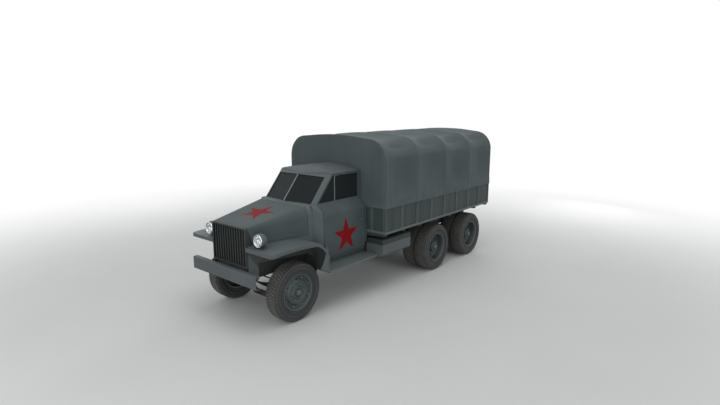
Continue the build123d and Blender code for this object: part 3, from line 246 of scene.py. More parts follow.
def made(name, shape, sharp=None):
    """A bmesh as smooth mesh data, with edges kept sharp above an angle in degrees."""
    bmesh.ops.recalc_face_normals(shape, faces=shape.faces)
    data = bpy.data.meshes.new(name)
    shape.to_mesh(data)
    shape.free()
    data.polygons.foreach_set("use_smooth", [True] * len(data.polygons))
    if sharp:
        data.set_sharp_from_angle(angle=math.radians(sharp))
    return data


def circle(count):
    """Angles round a full turn."""
    return [math.tau * step / count for step in range(count)]


def turned(shape, stations, turn):
    """A row of vertices from (y, radius) stations, at an angle round the Y axis."""
    return [shape.verts.new((r * math.sin(turn), y, r * math.cos(turn))) for y, r in stations]


def lathe(name, stations, count=96):
    """A closed mesh turned about the Y axis from a closed loop of (y, radius) stations."""
    shape = bmesh.new()
    lay_faces(shape, [turned(shape, stations, turn) for turn in circle(count)], ring=True, hoop=True)
    return made(name, shape)


def rod_along(shape, points, radii, sides=12):
    """A closed round bar through points, with its radius at each."""
    points = [Vector(point) for point in points]
    rings = []
    for k, point in enumerate(points):
        run = (points[min(k + 1, len(points) - 1)] - points[max(k - 1, 0)]).normalized()
        across = run.cross(Vector((0, 0, 1)))
        across = (across if across.length > 0.2 else run.cross(Vector((1, 0, 0)))).normalized()
        up = across.cross(run)
        spokes = [across * math.cos(turn) + up * math.sin(turn) for turn in circle(sides)]
        rings.append([shape.verts.new(point + radii[k] * spoke) for spoke in spokes])
    lay_faces(shape, rings, ring=True, caps=True)


def stand(name, data, body, place=(0, 0, 0), turn=None):
    """An object at a place in the shared frame, that rides on a body."""
    piece = bpy.data.objects.new(name, data)
    bpy.context.scene.collection.objects.link(piece)
    piece.matrix_world = Matrix.Translation(place) @ (turn or Matrix.Identity(4))
    bpy.context.view_layer.update()
    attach(piece, body)
    return piece


def fit(name, shape, finish, body, sharp=35):
    """A bmesh as a piece of its own, in place, with its finish."""
    data = made(name, shape, sharp)
    coat(data, finish)
    return stand(name, data, body)


def coat(data, *finishes):
    for finish in finishes:
        data.materials.append(finish.material)


def between(start, end, share):
    return start + (end - start) * share


def clamped(value):
    return min(1.0, max(0.0, value))


def corners_of(node):
    """The lowest and the highest corner of a CAD node, to a tenth of a millimetre."""
    return [[round(float(part), 4) for part in corner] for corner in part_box(node)]


def middle_of(node):
    return [(low + high) / 2 for low, high in zip(*corners_of(node))]


# Chassis: riveted channel rails with crossmembers, springs, the dropped I-beam axle and the
# drive axles. All of it is cast or pressed steel, brush-painted and dusty from the road.
def dress(finish, *names):
    """Gives CAD nodes a finish in place of their plain one."""
    for name in names:
        for holder in nodes[name].material_slots:
            holder.material = finish.material


def dusty_steel(name, colour, dust, roughness):
    finish = Finish(name, roughness=roughness, metallic=0.25)
    _, (_, _, height) = finish.place()
    low = 1 - finish.band(height, 0.25, 1.0)
    patches = finish.patches(4.0, 6.0, 0.42, 0.7)
    finish.tint(patches * (0.25 + 0.5 * low), colour, dust)
    finish.drive("Roughness", roughness + 0.25 * patches)
    finish.relief(finish.clouds(120.0, 4.0), 0.0015, 0.5)
    return finish


def worn(name, metallic, spots, share, clean, rubbed, smooth, rise):
    """A finish that goes from clean to rubbed in spots, as patches draws them, and rougher by rise."""
    finish = Finish(name, metallic=metallic)
    spots = finish.patches(*spots)
    finish.tint(spots * share, clean, rubbed)
    finish.drive("Roughness", smooth + rise * spots)
    return finish


road_dust = tone(98, 94, 86)
chassis_paint = dusty_steel("chassis_paint", tone(46, 50, 49), road_dust, 0.55)
axle_iron = dusty_steel("axle_iron", tone(40, 43, 43), road_dust, 0.5)
spring_steel = dusty_steel("spring_leaves", tone(38, 39, 40), road_dust, 0.45)
pipe_steel = dusty_steel("exhaust_steel", tone(70, 58, 50), tone(92, 80, 70), 0.7)
dress(chassis_paint, "frame", "front_axle_beam", "radiator")
dress(axle_iron, "rear_axles", "propshafts", "steering_knuckle_left", "steering_knuckle_right")
dress(axle_iron, "tie_rod", "engine_block")
dress(spring_steel, "front_springs", "rear_springs")
dress(pipe_steel, "exhaust")


# Tyres: bias-ply rubber with an all-round bar tread, moulded in one piece. The bars reach
# over the shoulder on both sides, half a pitch apart, and the side wall has a bead and ribs.
front_axle, front_wheel, axle_height = middle_of("tyre_front_left")
rear_axles = [middle_of(f"tyres_rear_{number}_left")[0] for number in (1, 2)]
rear_wheel, twin_half = middle_of("tyres_rear_1_left")[1], 0.139
tyre_reach = axle_height
bead_reach = 0.29
bar_count = 58
round_count = 128


def tyre_mesh(name, width):
    """A tyre of a width: the carcass, a row of slanting bars on each side and a rib between."""
    half = width / 2
    crown = tyre_reach - 0.001
    base = crown - 0.010
    shoulder = tyre_reach - 0.026
    outside = [
        (half - 0.022, bead_reach + 0.001), (half - 0.012, bead_reach + 0.012),
        (half - 0.016, bead_reach + 0.024), (half - 0.005, bead_reach + 0.050),
        (half, bead_reach + 0.085), (half - 0.001, bead_reach + 0.112),
        (half - 0.005, bead_reach + 0.116), (half - 0.006, shoulder - 0.012),
        (half - 0.015, shoulder + 0.006), (half - 0.032, base - 0.003), (half - 0.066, base),
    ]
    loop = outside + [(-y, r) for y, r in reversed(outside)]
    shape = bmesh.new()
    shape.from_mesh(lathe(name, loop, round_count))
    # Each bar runs from beside the middle rib out over the shoulder: (y, radius, lean)
    spine = [
        (0.013, crown, 0.0), (half * 0.5, crown, 0.35),
        (half - 0.024, crown - 0.005, 0.62), (half - 0.003, shoulder, 0.70),
    ]
    # Across a bar, from foot to foot: (share of the pitch, drop below its top)
    section = ((-0.40, 0.014), (-0.34, 0.0), (0.34, 0.0), (0.40, 0.014))
    pitch = math.tau / bar_count
    for side in (-1, 1):
        for bar in range(bar_count):
            start = (bar + (0.5 if side > 0 else 0)) * pitch
            rows = []
            for y, top, lean in spine:
                row = []
                for aside, drop in section:
                    row += turned(shape, [(side * y, top - drop)], start + (lean + aside) * pitch)
                rows.append(row)
            lay_faces(shape, rows, caps=True)
    rib_foot, rib_top = base - 0.004, crown - 0.001
    rib = [(-0.012, rib_foot), (-0.0095, rib_top), (0.0095, rib_top), (0.012, rib_foot)]
    lay_faces(shape, [turned(shape, rib, turn) for turn in circle(round_count)], hoop=True)
    return made(name, shape, sharp=34)


rubber = Finish("tyre_rubber", roughness=0.82)
_, (rubber_x, rubber_y, rubber_z) = rubber.place()
tread_reach = distance(rubber_x, rubber_z)
ground_dust = rubber.patches(9.0, 6.0, 0.3, 0.75)
tread = rubber.band(tread_reach, 0.415, 0.45)
# Painted shade on the tyre's floor between the tread bars, darker than the rubber itself
painted_groove_shade = rubber.band(tread_reach, 0.438, 0.452) * (1 - rubber.band(tread_reach, 0.4545, 0.4585))
dusted_rubber = rubber.mix(ground_dust * 0.3, tone(50, 51, 53), tone(72, 72, 70))
# The side wall is scuffed in rings: at the bead, on the widest rib and under the shoulder
scuffs = rubber.line(tread_reach, 0.3045, 0.004, 0.010)
for rib_reach in (0.376, 0.418):
    scuffs = scuffs.maths("MAXIMUM", rubber.line(tread_reach, rib_reach, 0.004, 0.012))
worn_ring = scuffs * (0.25 + 0.75 * rubber.patches(13.0, 5.0, 0.35, 0.7))
dusted_rubber = rubber.mix(worn_ring * 0.55, dusted_rubber, tone(84, 86, 87))
# Painted shade in a ring where the side wall dips in, inside the widest rib
painted_hollow_shade = rubber.line(tread_reach, 0.340, 0.008, 0.022)
dusted_rubber = rubber.mix(painted_hollow_shade * 0.45, dusted_rubber, tone(38, 39, 41))
dusted_rubber = rubber.mix(tread * (0.55 + 0.35 * ground_dust), dusted_rubber, tone(98, 97, 92))
rubber_colour = rubber.mix(painted_groove_shade * 0.85, dusted_rubber, tone(26, 26, 26))
rubber.drive("Base Color", rubber_colour)
rubber.drive("Roughness", 0.74 + 0.16 * ground_dust)
side_wall = rubber.band(tread_reach, 0.30, 0.305) * (1 - rubber.band(tread_reach, 0.395, 0.4))
moulded_rings = (tread_reach * 420.0).maths("SINE") * side_wall
rubber.relief(moulded_rings * 0.4 + rubber.clouds(160.0, 3.0) * 0.5, 0.0016, 0.6)
tyre_data = {"front": tyre_mesh("front_tyre", 0.248), "rear": tyre_mesh("rear_tyre", 0.266)}
for data in tyre_data.values():
    coat(data, rubber)
sides = (("left", 1), ("right", -1))
# Every hub: (end, side with its row, body, x, y, hand)
hubs = []
for side, hand in sides:
    hubs.append(("front", side, f"wheel_front_{side}", front_axle, front_wheel, hand))
    for row, axle in enumerate(rear_axles, start=1):
        hubs.append(("rear", f"{row}_{side}", f"wheels_rear_{row}_{side}", axle, rear_wheel, hand))
twins = {"front": {"": 0.0}, "rear": {"_outer": twin_half, "_inner": -twin_half}}
for end, row, body, x, y, hand in hubs:
    for twin, offset in twins[end].items():
        place = (x, hand * (y + offset), axle_height)
        tyre = stand(f"{end}_tyre_{row}{twin}", tyre_data[end], body, place)
        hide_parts(f"tyre_front_{row}" if end == "front" else f"tyres_rear_{row}")


# Wheels: pressed-steel discs riveted into rolled rims with a loose side ring. The front disc
# bulges outwards, the rear one is dished in behind the hub of its twin, and both have hand holes.
def hex_heads(shape, count, ring, y, size, height):
    """Nuts on a ring about the Y axis, each a hexagon with a domed end."""
    # A nut from its seat to its end: (share of size, share of height)
    profile = ((1.0, 0.0), (1.0, 0.7), (0.82, 1.0), (0.45, 1.12))
    for turn in circle(count):
        turn += math.pi / count
        middle = Vector((ring * math.sin(turn), y, ring * math.cos(turn)))
        rows = []
        for wide, far in profile:
            reach, rise = wide * size, far * height
            corners = [Vector((reach * math.sin(t), rise, reach * math.cos(t))) for t in circle(6)]
            rows.append([shape.verts.new(middle + corner) for corner in corners])
        lay_faces(shape, rows, ring=True, caps=True)


def wheel_mesh(name, stations, nuts):
    """A disc with its rim, and rings of nuts whose faces take the second material."""
    shape = bmesh.new()
    shape.from_mesh(lathe(name, stations))
    for count, ring, y, size, height in nuts:
        disc_faces = set(shape.faces)
        hex_heads(shape, count, ring, y, size, height)
        for face in set(shape.faces) - disc_faces:
            face.material_index = 1
    return made(name, shape, sharp=28)


def wheel_paint(name, ring, length, width):
    """Brushed paint over a disc, dirty in patches, with painted shade in the gutter inside the rim,
    painted highlights on the flange and the hub's middle, and a ring of six hand holes painted near
    black as the shade seen through them.
    """
    finish = Finish(name, roughness=0.5, metallic=0.1)
    _, (x, y, z) = finish.place()
    reach = distance(x, z)
    dirt = finish.patches(11.0, 6.0, 0.35, 0.75)
    # Painted shade in the gutter between the disc and the rim's flange
    painted_gutter_shade = finish.band(reach, 0.215, 0.25) * (1 - finish.band(reach, 0.262, 0.268))
    # Painted highlight on the rim's flange
    painted_flange_highlight = finish.band(reach, 0.268, 0.274)
    colour = finish.mix(dirt * 0.4, tone(68, 78, 78), tone(72, 75, 72))
    colour = finish.mix(painted_gutter_shade * 0.55, colour, tone(36, 41, 41))
    colour = finish.mix(painted_flange_highlight * 0.7, colour, tone(90, 99, 99))
    # Painted highlight on the hub's middle
    colour = finish.mix((1 - finish.band(reach, 0.036, 0.040)) * 0.6, colour, tone(96, 105, 105))
    turn = x.maths("ARCTAN2", z).maths("PINGPONG", math.pi / 6)
    aside = (reach - ring) / width
    along = turn * ring / length
    # The hand holes are painted near black, as the shade seen through them
    hand_hole_shade = 1 - finish.band(distance(aside, along), 0.9, 1.05)
    finish.drive("Roughness", 0.42 + 0.25 * dirt)
    finish.tint(hand_hole_shade, colour, tone(12, 13, 13))
    finish.relief(finish.clouds(90.0, 3.0) * 0.3 - hand_hole_shade * 2.0, 0.003, 0.6)
    return finish


def shifted(start, *stations):
    """Stations whose y is counted from a start."""
    return [(start + y, reach) for y, reach in stations]


rim_edge, disc_face = 0.098, 0.068  # outwards from the tyre's middle
twin_out = twin_half + rim_edge + 0.008
# Each wheel's outline goes in along its face to the hub, and back out along its inner side
front_face = shifted(
    rim_edge,
    (0.006, bead_reach), (0.016, bead_reach - 0.003), (0.014, bead_reach - 0.016),
    (-0.002, bead_reach - 0.022), (-0.010, bead_reach - 0.030),
)
front_face += shifted(
    disc_face,
    (0.010, 0.250), (0.012, 0.232), (0.002, 0.222), (-0.004, 0.212), (0.004, 0.202), (0.026, 0.186),
    (0.036, 0.172), (0.034, 0.158), (0.020, 0.146), (0.014, 0.130), (0.018, 0.112), (0.034, 0.100),
    (0.044, 0.090), (0.044, 0.076), (0.030, 0.066), (0.030, 0.056), (0.060, 0.046), (0.068, 0.034),
    (0.070, 0.0004), (0.002, 0.0004), (0.002, 0.0305),
)
front_back = [(-0.092, 0.0305), (-0.092, 0.19), (disc_face - 0.030, 0.19), (disc_face - 0.034, 0.262)]
front_back += shifted(-rim_edge, (0.0, 0.268), (-0.004, bead_reach))
# Rings of nuts: (count, ring, y, size, height)
front_nuts = [(8, 0.240, disc_face + 0.010, 0.015, 0.018), (6, 0.130, disc_face + 0.013, 0.014, 0.020)]
wheel_data = {"front": wheel_mesh("front_wheel", front_face + front_back, front_nuts)}
rear_face = shifted(
    twin_out,
    (0.006, bead_reach), (0.018, bead_reach - 0.003), (0.016, bead_reach - 0.016),
    (-0.002, bead_reach - 0.022), (-0.014, bead_reach - 0.030), (-0.045, 0.250),
)
rear_face += [
    (0.150, 0.243), (0.128, 0.230), (0.116, 0.208), (0.112, 0.182), (0.118, 0.160), (0.130, 0.148),
    (0.134, 0.120), (0.140, 0.104), (0.176, 0.097), (0.196, 0.090), (0.200, 0.078), (0.200, 0.062),
    (0.216, 0.055), (0.236, 0.046), (0.240, 0.030), (0.241, 0.0004), (0.104, 0.0004), (0.104, 0.0425),
]
rear_back = [(-0.2855, 0.0425), (-0.2855, 0.19), (0.0, 0.19), (-0.012, 0.262)]
rear_back += shifted(-twin_out, (0.0, 0.268), (-0.004, bead_reach))
rear_nuts = [(8, 0.132, 0.130, 0.015, 0.024), (8, 0.084, 0.196, 0.007, 0.010)]
wheel_data["rear"] = wheel_mesh("rear_wheel", rear_face + rear_back, rear_nuts)
nut_spots = (60.0, 4.0, 0.35, 0.7)
nut_steel = worn("nut_steel", 0.3, nut_spots, 1.0, tone(116, 126, 126), tone(92, 100, 100), 0.4, 0.2)
coat(wheel_data["front"], wheel_paint("front_rim_paint", 0.205, 0.020, 0.008), nut_steel)
coat(wheel_data["rear"], wheel_paint("rear_rim_paint", 0.195, 0.034, 0.021), nut_steel)
half_turn = Matrix.Rotation(math.pi, 4, "Z")
for end, row, body, x, y, hand in hubs:
    place, facing = (x, hand * y, axle_height), None if hand > 0 else half_turn
    wheel = stand(f"{end}_wheel_{row}", wheel_data[end], body, place, facing)
    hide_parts(f"rim_{end}_{row}")


# Sheet-metal paint: a matte grey-green, a little faded in patches and dusty low down. What
# looks down at the road, and what mud keeps dark in the wheel bays, is undersealed instead.
# The bay's side behind the fender's nose has the underseal's colour as painted shadow.
def paint(name, colour, faded, roughness=0.55):
    """Paint, and the colour signal that its pattern is still to be drawn on."""
    finish = Finish(name, roughness=roughness)
    _, (_, _, height) = finish.place()
    broad = finish.patches(1.7, 4.0, 0.35, 0.7)
    fine = finish.clouds(14.0, 6.0)
    weathered = finish.mix(broad * 0.6 + fine * 0.25, colour, faded)
    low = 1 - finish.band(height, 0.35, 1.15)
    dirt = low * finish.patches(5.0, 5.0, 0.35, 0.75) * 0.45
    finish.drive("Roughness", roughness + 0.12 * fine + 0.15 * dirt)
    finish.relief(finish.clouds(220.0, 2.0), 0.0004, 0.35)
    dusty = finish.mix(dirt, weathered, road_dust)
    return finish, finish.mix(1 - finish.band(finish.upward(), -0.75, -0.3), dusty, underseal_and_shade)


def plain_paint(name, colour, faded, roughness=0.55):
    """Paint with nothing drawn on it."""
    finish, shade = paint(name, colour, faded, roughness)
    finish.drive("Base Color", shade)
    return finish


# The underseal's colour, also used as painted shadow on the bay's side behind the fender
underseal_and_shade = tone(66, 70, 68)
body_green, body_faded = tone(76, 85, 87), tone(88, 96, 97)
body_paint = plain_paint("body_paint", body_green, body_faded)
dress(body_paint, "cab_rear_wall", "cab_sides", "windscreen_frame")
# The cab roof has a darker copy of the body's paint: painted shade that holds its lit top down
dress(plain_paint("shaded_roof_paint", tone(66, 75, 77), tone(76, 84, 86)), "cab_roof")
# The running boards have a lighter copy of the body's paint: painted light on tops that the cab shades
dress(plain_paint("lit_board_paint", tone(88, 97, 98), tone(100, 108, 108)), "running_boards")


def well_paint(name, shade, dark_colour=underseal_and_shade):
    """Body paint, with what a shape picks out in a darker colour, for underseal and for painted shadow.
    """
    finish, colour = paint(name, body_green, body_faded)
    point, place = finish.place()
    finish.tint(shade(finish, point, *place), colour, dark_colour)
    return finish


def painted_fender_shadow(finish, _, x, y, z):
    """Painted shadow of the fender on the bay's side, behind a slanting line from the fender's nose, up
    to the fender.
    """
    nose_x, nose_z, slant = 3.020, 1.115, 0.645
    ahead = x - nose_x + (nose_z - z) * slant
    return (1 - finish.band(ahead, -0.004, 0.004)) * (z < 1.13)


def faces_wheel(finish, point, x, y, z):
    """What looks towards the axle, on the inner side of the arch."""
    axle = (front_axle, 0, axle_height)
    sums = "ShaderNodeVectorMath"
    inward = finish.add(sums, {"operation": "SUBTRACT"}, {0: axle, 1: point})
    flat = finish.add(sums, {"operation": "MULTIPLY"}, {0: inward, 1: (1, 0, 1)})
    facing = finish.add("ShaderNodeNewGeometry", output="Normal")
    towards = finish.add(sums, {"operation": "DOT_PRODUCT"}, {0: flat, 1: facing}, output="Value")
    return finish.band(towards, 0.06, 0.10)


def in_wheel_bay(finish, _, x, y, z):
    """The cowl's foot, below the fender."""
    return (x > 1.918) * (z < 1.120)


def painted_bed_shadow(finish, _, x, y, z):
    """A dark band round the top of each box: painted shadow of the bed above it."""
    return finish.band(z, 0.868, 0.872)


dress(well_paint("bay_paint", painted_fender_shadow), "engine_bay_sides")
dress(well_paint("fender_paint", faces_wheel), "fenders")
# The boxes' top band is the bed's painted shadow
dress(well_paint("box_paint", painted_bed_shadow, tone(36, 42, 42)), "fuel_tank", "tool_box")
dress(well_paint("cowl_paint", in_wheel_bay), "cowl")


# Splash sheets: pressed steel closing the front wheel bay down to the rails, a skirt behind each
# front wheel's arch, and a shield inside the rear wheels. All bolted on, the inner ones undersealed.
def splash_sheet(name, rows, finish):
    """A sheet of rolled plate through rows of points."""
    shape = bmesh.new()
    lay_faces(shape, [[shape.verts.new(point) for point in row] for row in rows])
    bmesh.ops.recalc_face_normals(shape, faces=shape.faces)
    bmesh.ops.solidify(shape, geom=shape.faces[:], thickness=plate)
    fit(name, shape, finish, "chassis", sharp=30)


seal_coat = dusty_steel("seal_coat", underseal_and_shade, tone(70, 66, 58), 0.75)
skirt_paint = plain_paint("skirt_paint", tone(74, 83, 84), tone(84, 92, 93))
plate, rail_side, cowl_x, grille_x = 0.003, 0.432, 1.930, 2.862
# The shield runs inwards along the cowl, then forwards along the rail: (place, heights)
cowl_run = ((1.926, 0.74), (1.922, 0.64), (1.918, 0.56), (1.914, 0.48))
bay_wall = [(place, (0.945, 0.80, 0.70, 0.64)) for place in cowl_run]
bay_wall += [((x, rail_side), (0.925, 0.80, 0.74, 0.66)) for x in (cowl_x, 2.050)]
bay_wall += [((x, rail_side), (0.925, 0.80, 0.75, 0.715)) for x in (2.200, 2.500, grille_x)]
# The shelf closes the top, from the bay's side at these places (x, y) in to the rail
bay_edge = ((cowl_x, 0.640), (2.400, 0.562), (grille_x, 0.486))
# The skirt behind the arch has its free edge in front, (x, z) from the top down
arch_edge = (
    (1.950, 1.110), (1.956, 1.060), (1.985, 0.970), (2.018, 0.890), (2.060, 0.820), (2.096, 0.777)
)
cab_edge = (
    (1.934, 1.050), (1.928, 1.010), (1.920, 0.920), (1.920, 0.840), (1.920, 0.750), (1.920, 0.686)
)
# The rear shield stands upright inside the twin wheels, with its top row turned out a little
shield_y, shield_top_y = 0.566, 0.572
shield_x = (-3.060, -2.916, -2.700, -2.200, -1.760, -1.300, -0.800, -0.560)
shield_z = (0.690, 0.760, 0.860, 0.950, 0.984)
rolled_edge = ((0.004, 0.0055), (0.002, 0.0115))  # over a wire: (forwards, inwards)
skirt_y = corners_of("fenders")[1][1] - plate / 2
for side, hand in sides:
    rows = [[(x, hand * y, z) for z in heights] for (x, y), heights in bay_wall]
    splash_sheet(f"bay_shield_{side}", rows, seal_coat)
    quarters = [step / 4 for step in range(5)]
    rows = []
    for x, edge in bay_edge:
        places = [(between(edge, rail_side - 0.001, q), 0.948 - 0.022 * q**3) for q in quarters]
        rows.append([(x, hand * y, z) for y, z in places])
    splash_sheet(f"bay_shelf_{side}", rows, seal_coat)
    rows = []
    for (rear_x, rear_z), (free_x, free_z) in zip(cab_edge, arch_edge):
        sixths = [step / 6 for step in range(7)]
        row = [(between(rear_x, free_x, s), hand * skirt_y, between(rear_z, free_z, s)) for s in sixths]
        row += [(free_x + forth, hand * (skirt_y - inwards), free_z) for forth, inwards in rolled_edge]
        rows.append(row)
    splash_sheet(f"fender_skirt_{side}", rows, skirt_paint)
    rows = [
        [(x, hand * (shield_top_y if z > 0.95 else shield_y), z) for z in shield_z] for x in shield_x
    ]
    splash_sheet(f"wheel_shield_{side}", rows, seal_coat)


# Red stars: five-pointed, brushed on through a stencil on the hood and on both doors.
def star_mask(finish, across, along, radius):
    """1 inside a five-pointed star whose tip points along the second signal."""
    # The turn from the nearest tip is folded to 0 to 36 degrees, where the notch is. The edge
    # between them looks out at 72 degrees from the tip
    folded = across.maths("ARCTAN2", along).maths("PINGPONG", math.radians(36))
    edge_turn = math.radians(72)
    outwards = distance(across, along) * (folded - edge_turn).maths("COSINE")
    outside = outwards - radius * math.cos(edge_turn)
    rough = (finish.clouds(28.0, 5.0) - 0.5) * 0.02
    return 1 - finish.band(outside + rough, -0.0025, 0.0025)


def star_paint(name, centre_across, centre_along, axes, tip, radius, red):
    """Body paint with a star round a centre; axes are the two axes of its plane, 0 to 2."""
    finish, colour = paint(name, body_green, body_faded)
    _, place = finish.place()
    across = place[axes[0]] - centre_across
    along = (place[axes[1]] - centre_along) * tip
    share = star_mask(finish, across, along, radius) * finish.patches(9.0, 6.0, 0.2, 0.34)
    finish.shader.inputs["Specular IOR Level"].default_value = 0.12
    finish.tint(share, colour, red)
    return finish


dress(star_paint("hood_paint", 0.0, 2.47, (1, 0), -1, 0.31, tone(124, 0, 6)), "hood")
door_star = star_paint("door_paint", 1.25, 1.115, (0, 2), 1, 0.316, tone(130, 14, 20))
dress(door_star, "door_left", "door_right")


# Grille and bumper: the bumper is in the body's colour, and the grille is painted dark all over,
# as painted shade between its bars, with dust. The bows, the cab's floor and dashboard and the
# lamp boxes at the rear have the same dark colour.
dark_paint = plain_paint("dark_paint", tone(38, 43, 43), tone(50, 54, 53), 0.5)
dress(dark_paint, "grille", "bows", "cab_floor", "dashboard", "tail_lamps")
dress(plain_paint("bumper_paint", tone(76, 84, 86), tone(86, 94, 96)), "bumper_front")


# Glass: flat panes, nearly opaque and tinted dark as painted shade of the cab behind them, with
# smears in patches. They let a little light through and reflect hardly any.
glass = Finish("cab_glass", roughness=0.22)
glass.shader.inputs["Specular IOR Level"].default_value = 0.06
smear = glass.clouds(3.0, 4.0)
glass.tint(smear, tone(36, 41, 41), tone(44, 49, 49))
glass.drive("Alpha", 0.90 + 0.05 * smear)
dress(glass, "cab_glass", "door_glass_left", "door_glass_right")


# Cab controls: the steering wheel on its column, the levers and the pedals are moulded in
# black and rubbed grey in places.
trim = Finish("control_black", roughness=0.45)
trim.tint(trim.clouds(18.0, 5.0), tone(26, 26, 26), tone(44, 43, 41))
dress(trim, "steering_wheel", "steering_column", "cab_controls")


# Timber: painted softwood boards on hardwood bearers, upright planks with fine gaps. Battens
# stand on the side and front boards, a little lighter, with a painted highlight along their edges.
(bed_rear, *_), (bed_front, boards_y, _) = corners_of("side_boards")
plank_width, batten_half = 0.121, 0.0275


def timber(name, colour, faded, run, first=0.0, pitch=0.0):
    """Painted boards counted along an axis; battens stand on them at a pitch from the first."""
    finish = Finish(name, roughness=0.7)
    _, place = finish.place()
    counted = place[run] / plank_width
    seam = 1 - finish.band(counted.maths("PINGPONG", 0.5), 0.0, 0.03)
    number = counted.maths("ROUND")
    shade = finish.add("ShaderNodeTexWhiteNoise", {"noise_dimensions": "1D"}, {"W": number})
    stretch = [1.0, 1.0, 1.0]
    stretch[run] = 9.0
    grain = finish.clouds(14.0, 6.0, stretch)
    body = finish.mix(shade * 0.65 + grain * 0.35, colour, faded)
    if pitch:
        aside = ((place[run] - first) / pitch).maths("PINGPONG", 0.5) * pitch
        seam = seam * finish.band(aside, batten_half, batten_half + 0.0025)
        # Painted highlight along each batten's edges
        edges = finish.line(aside, batten_half - 0.002, 0.003, 0.006)
        on_batten = 1 - finish.band(aside, batten_half - 0.0005, batten_half + 0.0005)
        body = finish.mix(on_batten * 0.3, body, tone(84, 94, 94))
        body = finish.mix(edges * 0.8, body, tone(98, 109, 109))
    finish.tint(seam * 0.8, body, tone(26, 30, 30))
    finish.drive("Roughness", 0.62 + 0.2 * grain)
    finish.relief(grain * 0.3 - seam, 0.004, 0.7)
    return finish


board_green, board_faded = tone(44, 54, 53), tone(61, 71, 71)
batten_pitch = (bed_front - bed_rear) / 8
front_pitch = 1.151 / 4  # the outermost battens stand at 1.151 on each side
dress(timber("side_timber", board_green, board_faded, 0, bed_front, batten_pitch), "side_boards")
dress(timber("front_timber", board_green, board_faded, 1, 0.0, front_pitch), "front_board")
dress(timber("gate_timber", board_green, board_faded, 1), "tailgate")
dress(timber("floor_timber", tone(84, 93, 92), tone(94, 103, 101), 1), "bed_floor")
# The bearers are painted dark: painted shade under the bed
dress(timber("bearer_timber", tone(38, 43, 43), tone(48, 53, 52), 0), "bed_frame")


# Tilt: cotton duck waterproofed in grey-green, sewn from strips that overlap on the bows, with
# a double hem over the boards. It is drawn tight, so it hollows in between the bows.
tilt_front, tilt_rear = bed_front, bed_rear
tilt_half, tilt_foot, tilt_shoulder = corners_of("canvas_tilt")[1][1], 1.522, 2.672
tilt_corner, ridge_reach, ridge_height = 0.400, 6.0, 2.757
cloth_inset, cloth_thick, lap = 0.0035, 0.0045, 0.0026
hem_top, seam_half = 1.640, 0.030
flare_top = 1.70  # from here down the sides stand off the boards
front_drop = 1.217  # from the ridge's edge to the foot of the front wall
bow_pitch = 0.95825
bow_places = [0.669 - bow_pitch * place for place in range(5)]
upright = 0.02  # a normal that rises by less than this is on a side wall


def tilt_profile():
    """The tilt's half outline from its foot to the ridge: (y, z, outward normal's y and z)."""
    foot_rows = [tilt_foot, 1.528, 1.545, 1.575, 1.606, 1.634, hem_top, 1.646, 1.665, flare_top]
    drop = ridge_reach - (ridge_height - tilt_shoulder)
    slope = math.atan2(tilt_half, drop) - math.acos(ridge_reach / math.hypot(tilt_half, drop))
    rise = math.tan(slope)
    corner_z = tilt_shoulder + tilt_corner * (rise - math.hypot(1, rise))
    rows = [(tilt_half, z, 1.0, 0.0) for z in foot_rows]
    rows += [(tilt_half, between(flare_top, corner_z, step / 12), 1.0, 0.0) for step in range(1, 12)]
    for step in range(15):
        turn = (math.pi / 2 - slope) * step / 14
        out, up = math.cos(turn), math.sin(turn)
        rows.append((tilt_half - tilt_corner * (1 - out), corner_z + tilt_corner * up, out, up))
    last_y, last_z = rows[-1][:2]
    ridge_y = ridge_reach * math.sin(slope)
    for step in range(1, 9):
        y = between(last_y, ridge_y, step / 8)
        rows.append((y, last_z + (last_y - y) * rise, math.sin(slope), math.cos(slope)))
    for step in range(1, 7):
        turn = slope * (1 - step / 6)
        out, up = math.sin(turn), math.cos(turn)
        rows.append((ridge_reach * out, ridge_height - ridge_reach * (1 - up), out, up))
    return rows


def tilt_columns():
    """Stations along the truck, close together at each seam."""
    stations = {tilt_front - back for back in (0.0, 0.003, 0.008, 0.022, 0.026)}
    stations |= {tilt_rear + ahead for ahead in (0.0, 0.004, 0.045, 0.050)}
    for place in bow_places[1:-1]:
        stations.add(place)
        for step in (0.0, 0.004, 0.02):
            stations |= {place - (seam_half + step), place + (seam_half + step)}
    for ahead, behind in zip(bow_places, bow_places[1:]):
        first = seam_half + 0.025
        stations |= {ahead - first - (ahead - behind - 2 * first) * step / 18 for step in range(19)}
    return sorted(stations, reverse=True)


# A bay lies on its bows at both ends and falls between, in shares of its length. On a side the
# fall is deepest two thirds of side_height above the hem. Above the side: (lean, depth)
on_bow, off_bow = 0.022, 0.478
side_depth, side_height = 0.076, 0.62
falls = ((0.0, 0.0557), (0.22, 0.034), (0.45, 0.056), (0.76, 0.104), (0.93, 0.086), (1.0001, 0.062))
bay_falls = (1.0, 0.86, 1.08, 0.93)  # each bay hangs a little differently


def hollow(x, z, lean):
    """How far the cloth falls in between two bows; lean is the outward normal's upward part."""
    along = (bow_places[0] - x) / bow_pitch
    if along < 0 or along > 4:
        return 0.0
    part = clamped(along - math.floor(along))
    reach = max(0.0, min(part, 1 - part) - on_bow) / off_bow
    across = math.sin(math.pi / 2 * min(reach, 1.0)) ** 1.15
    if lean < upright:
        rise = clamped((z - hem_top) / side_height)
        deep = side_depth * math.sin(0.75 * math.pi * rise) ** 0.9
    else:
        for (near, shallow), (beyond, deeper) in zip(falls, falls[1:]):
            if near <= lean < beyond:
                share = (1 - math.cos(math.pi * (lean - near) / (beyond - near))) / 2
                deep = between(shallow, deeper, share)
    return across * deep * bay_falls[min(int(along), 3)]


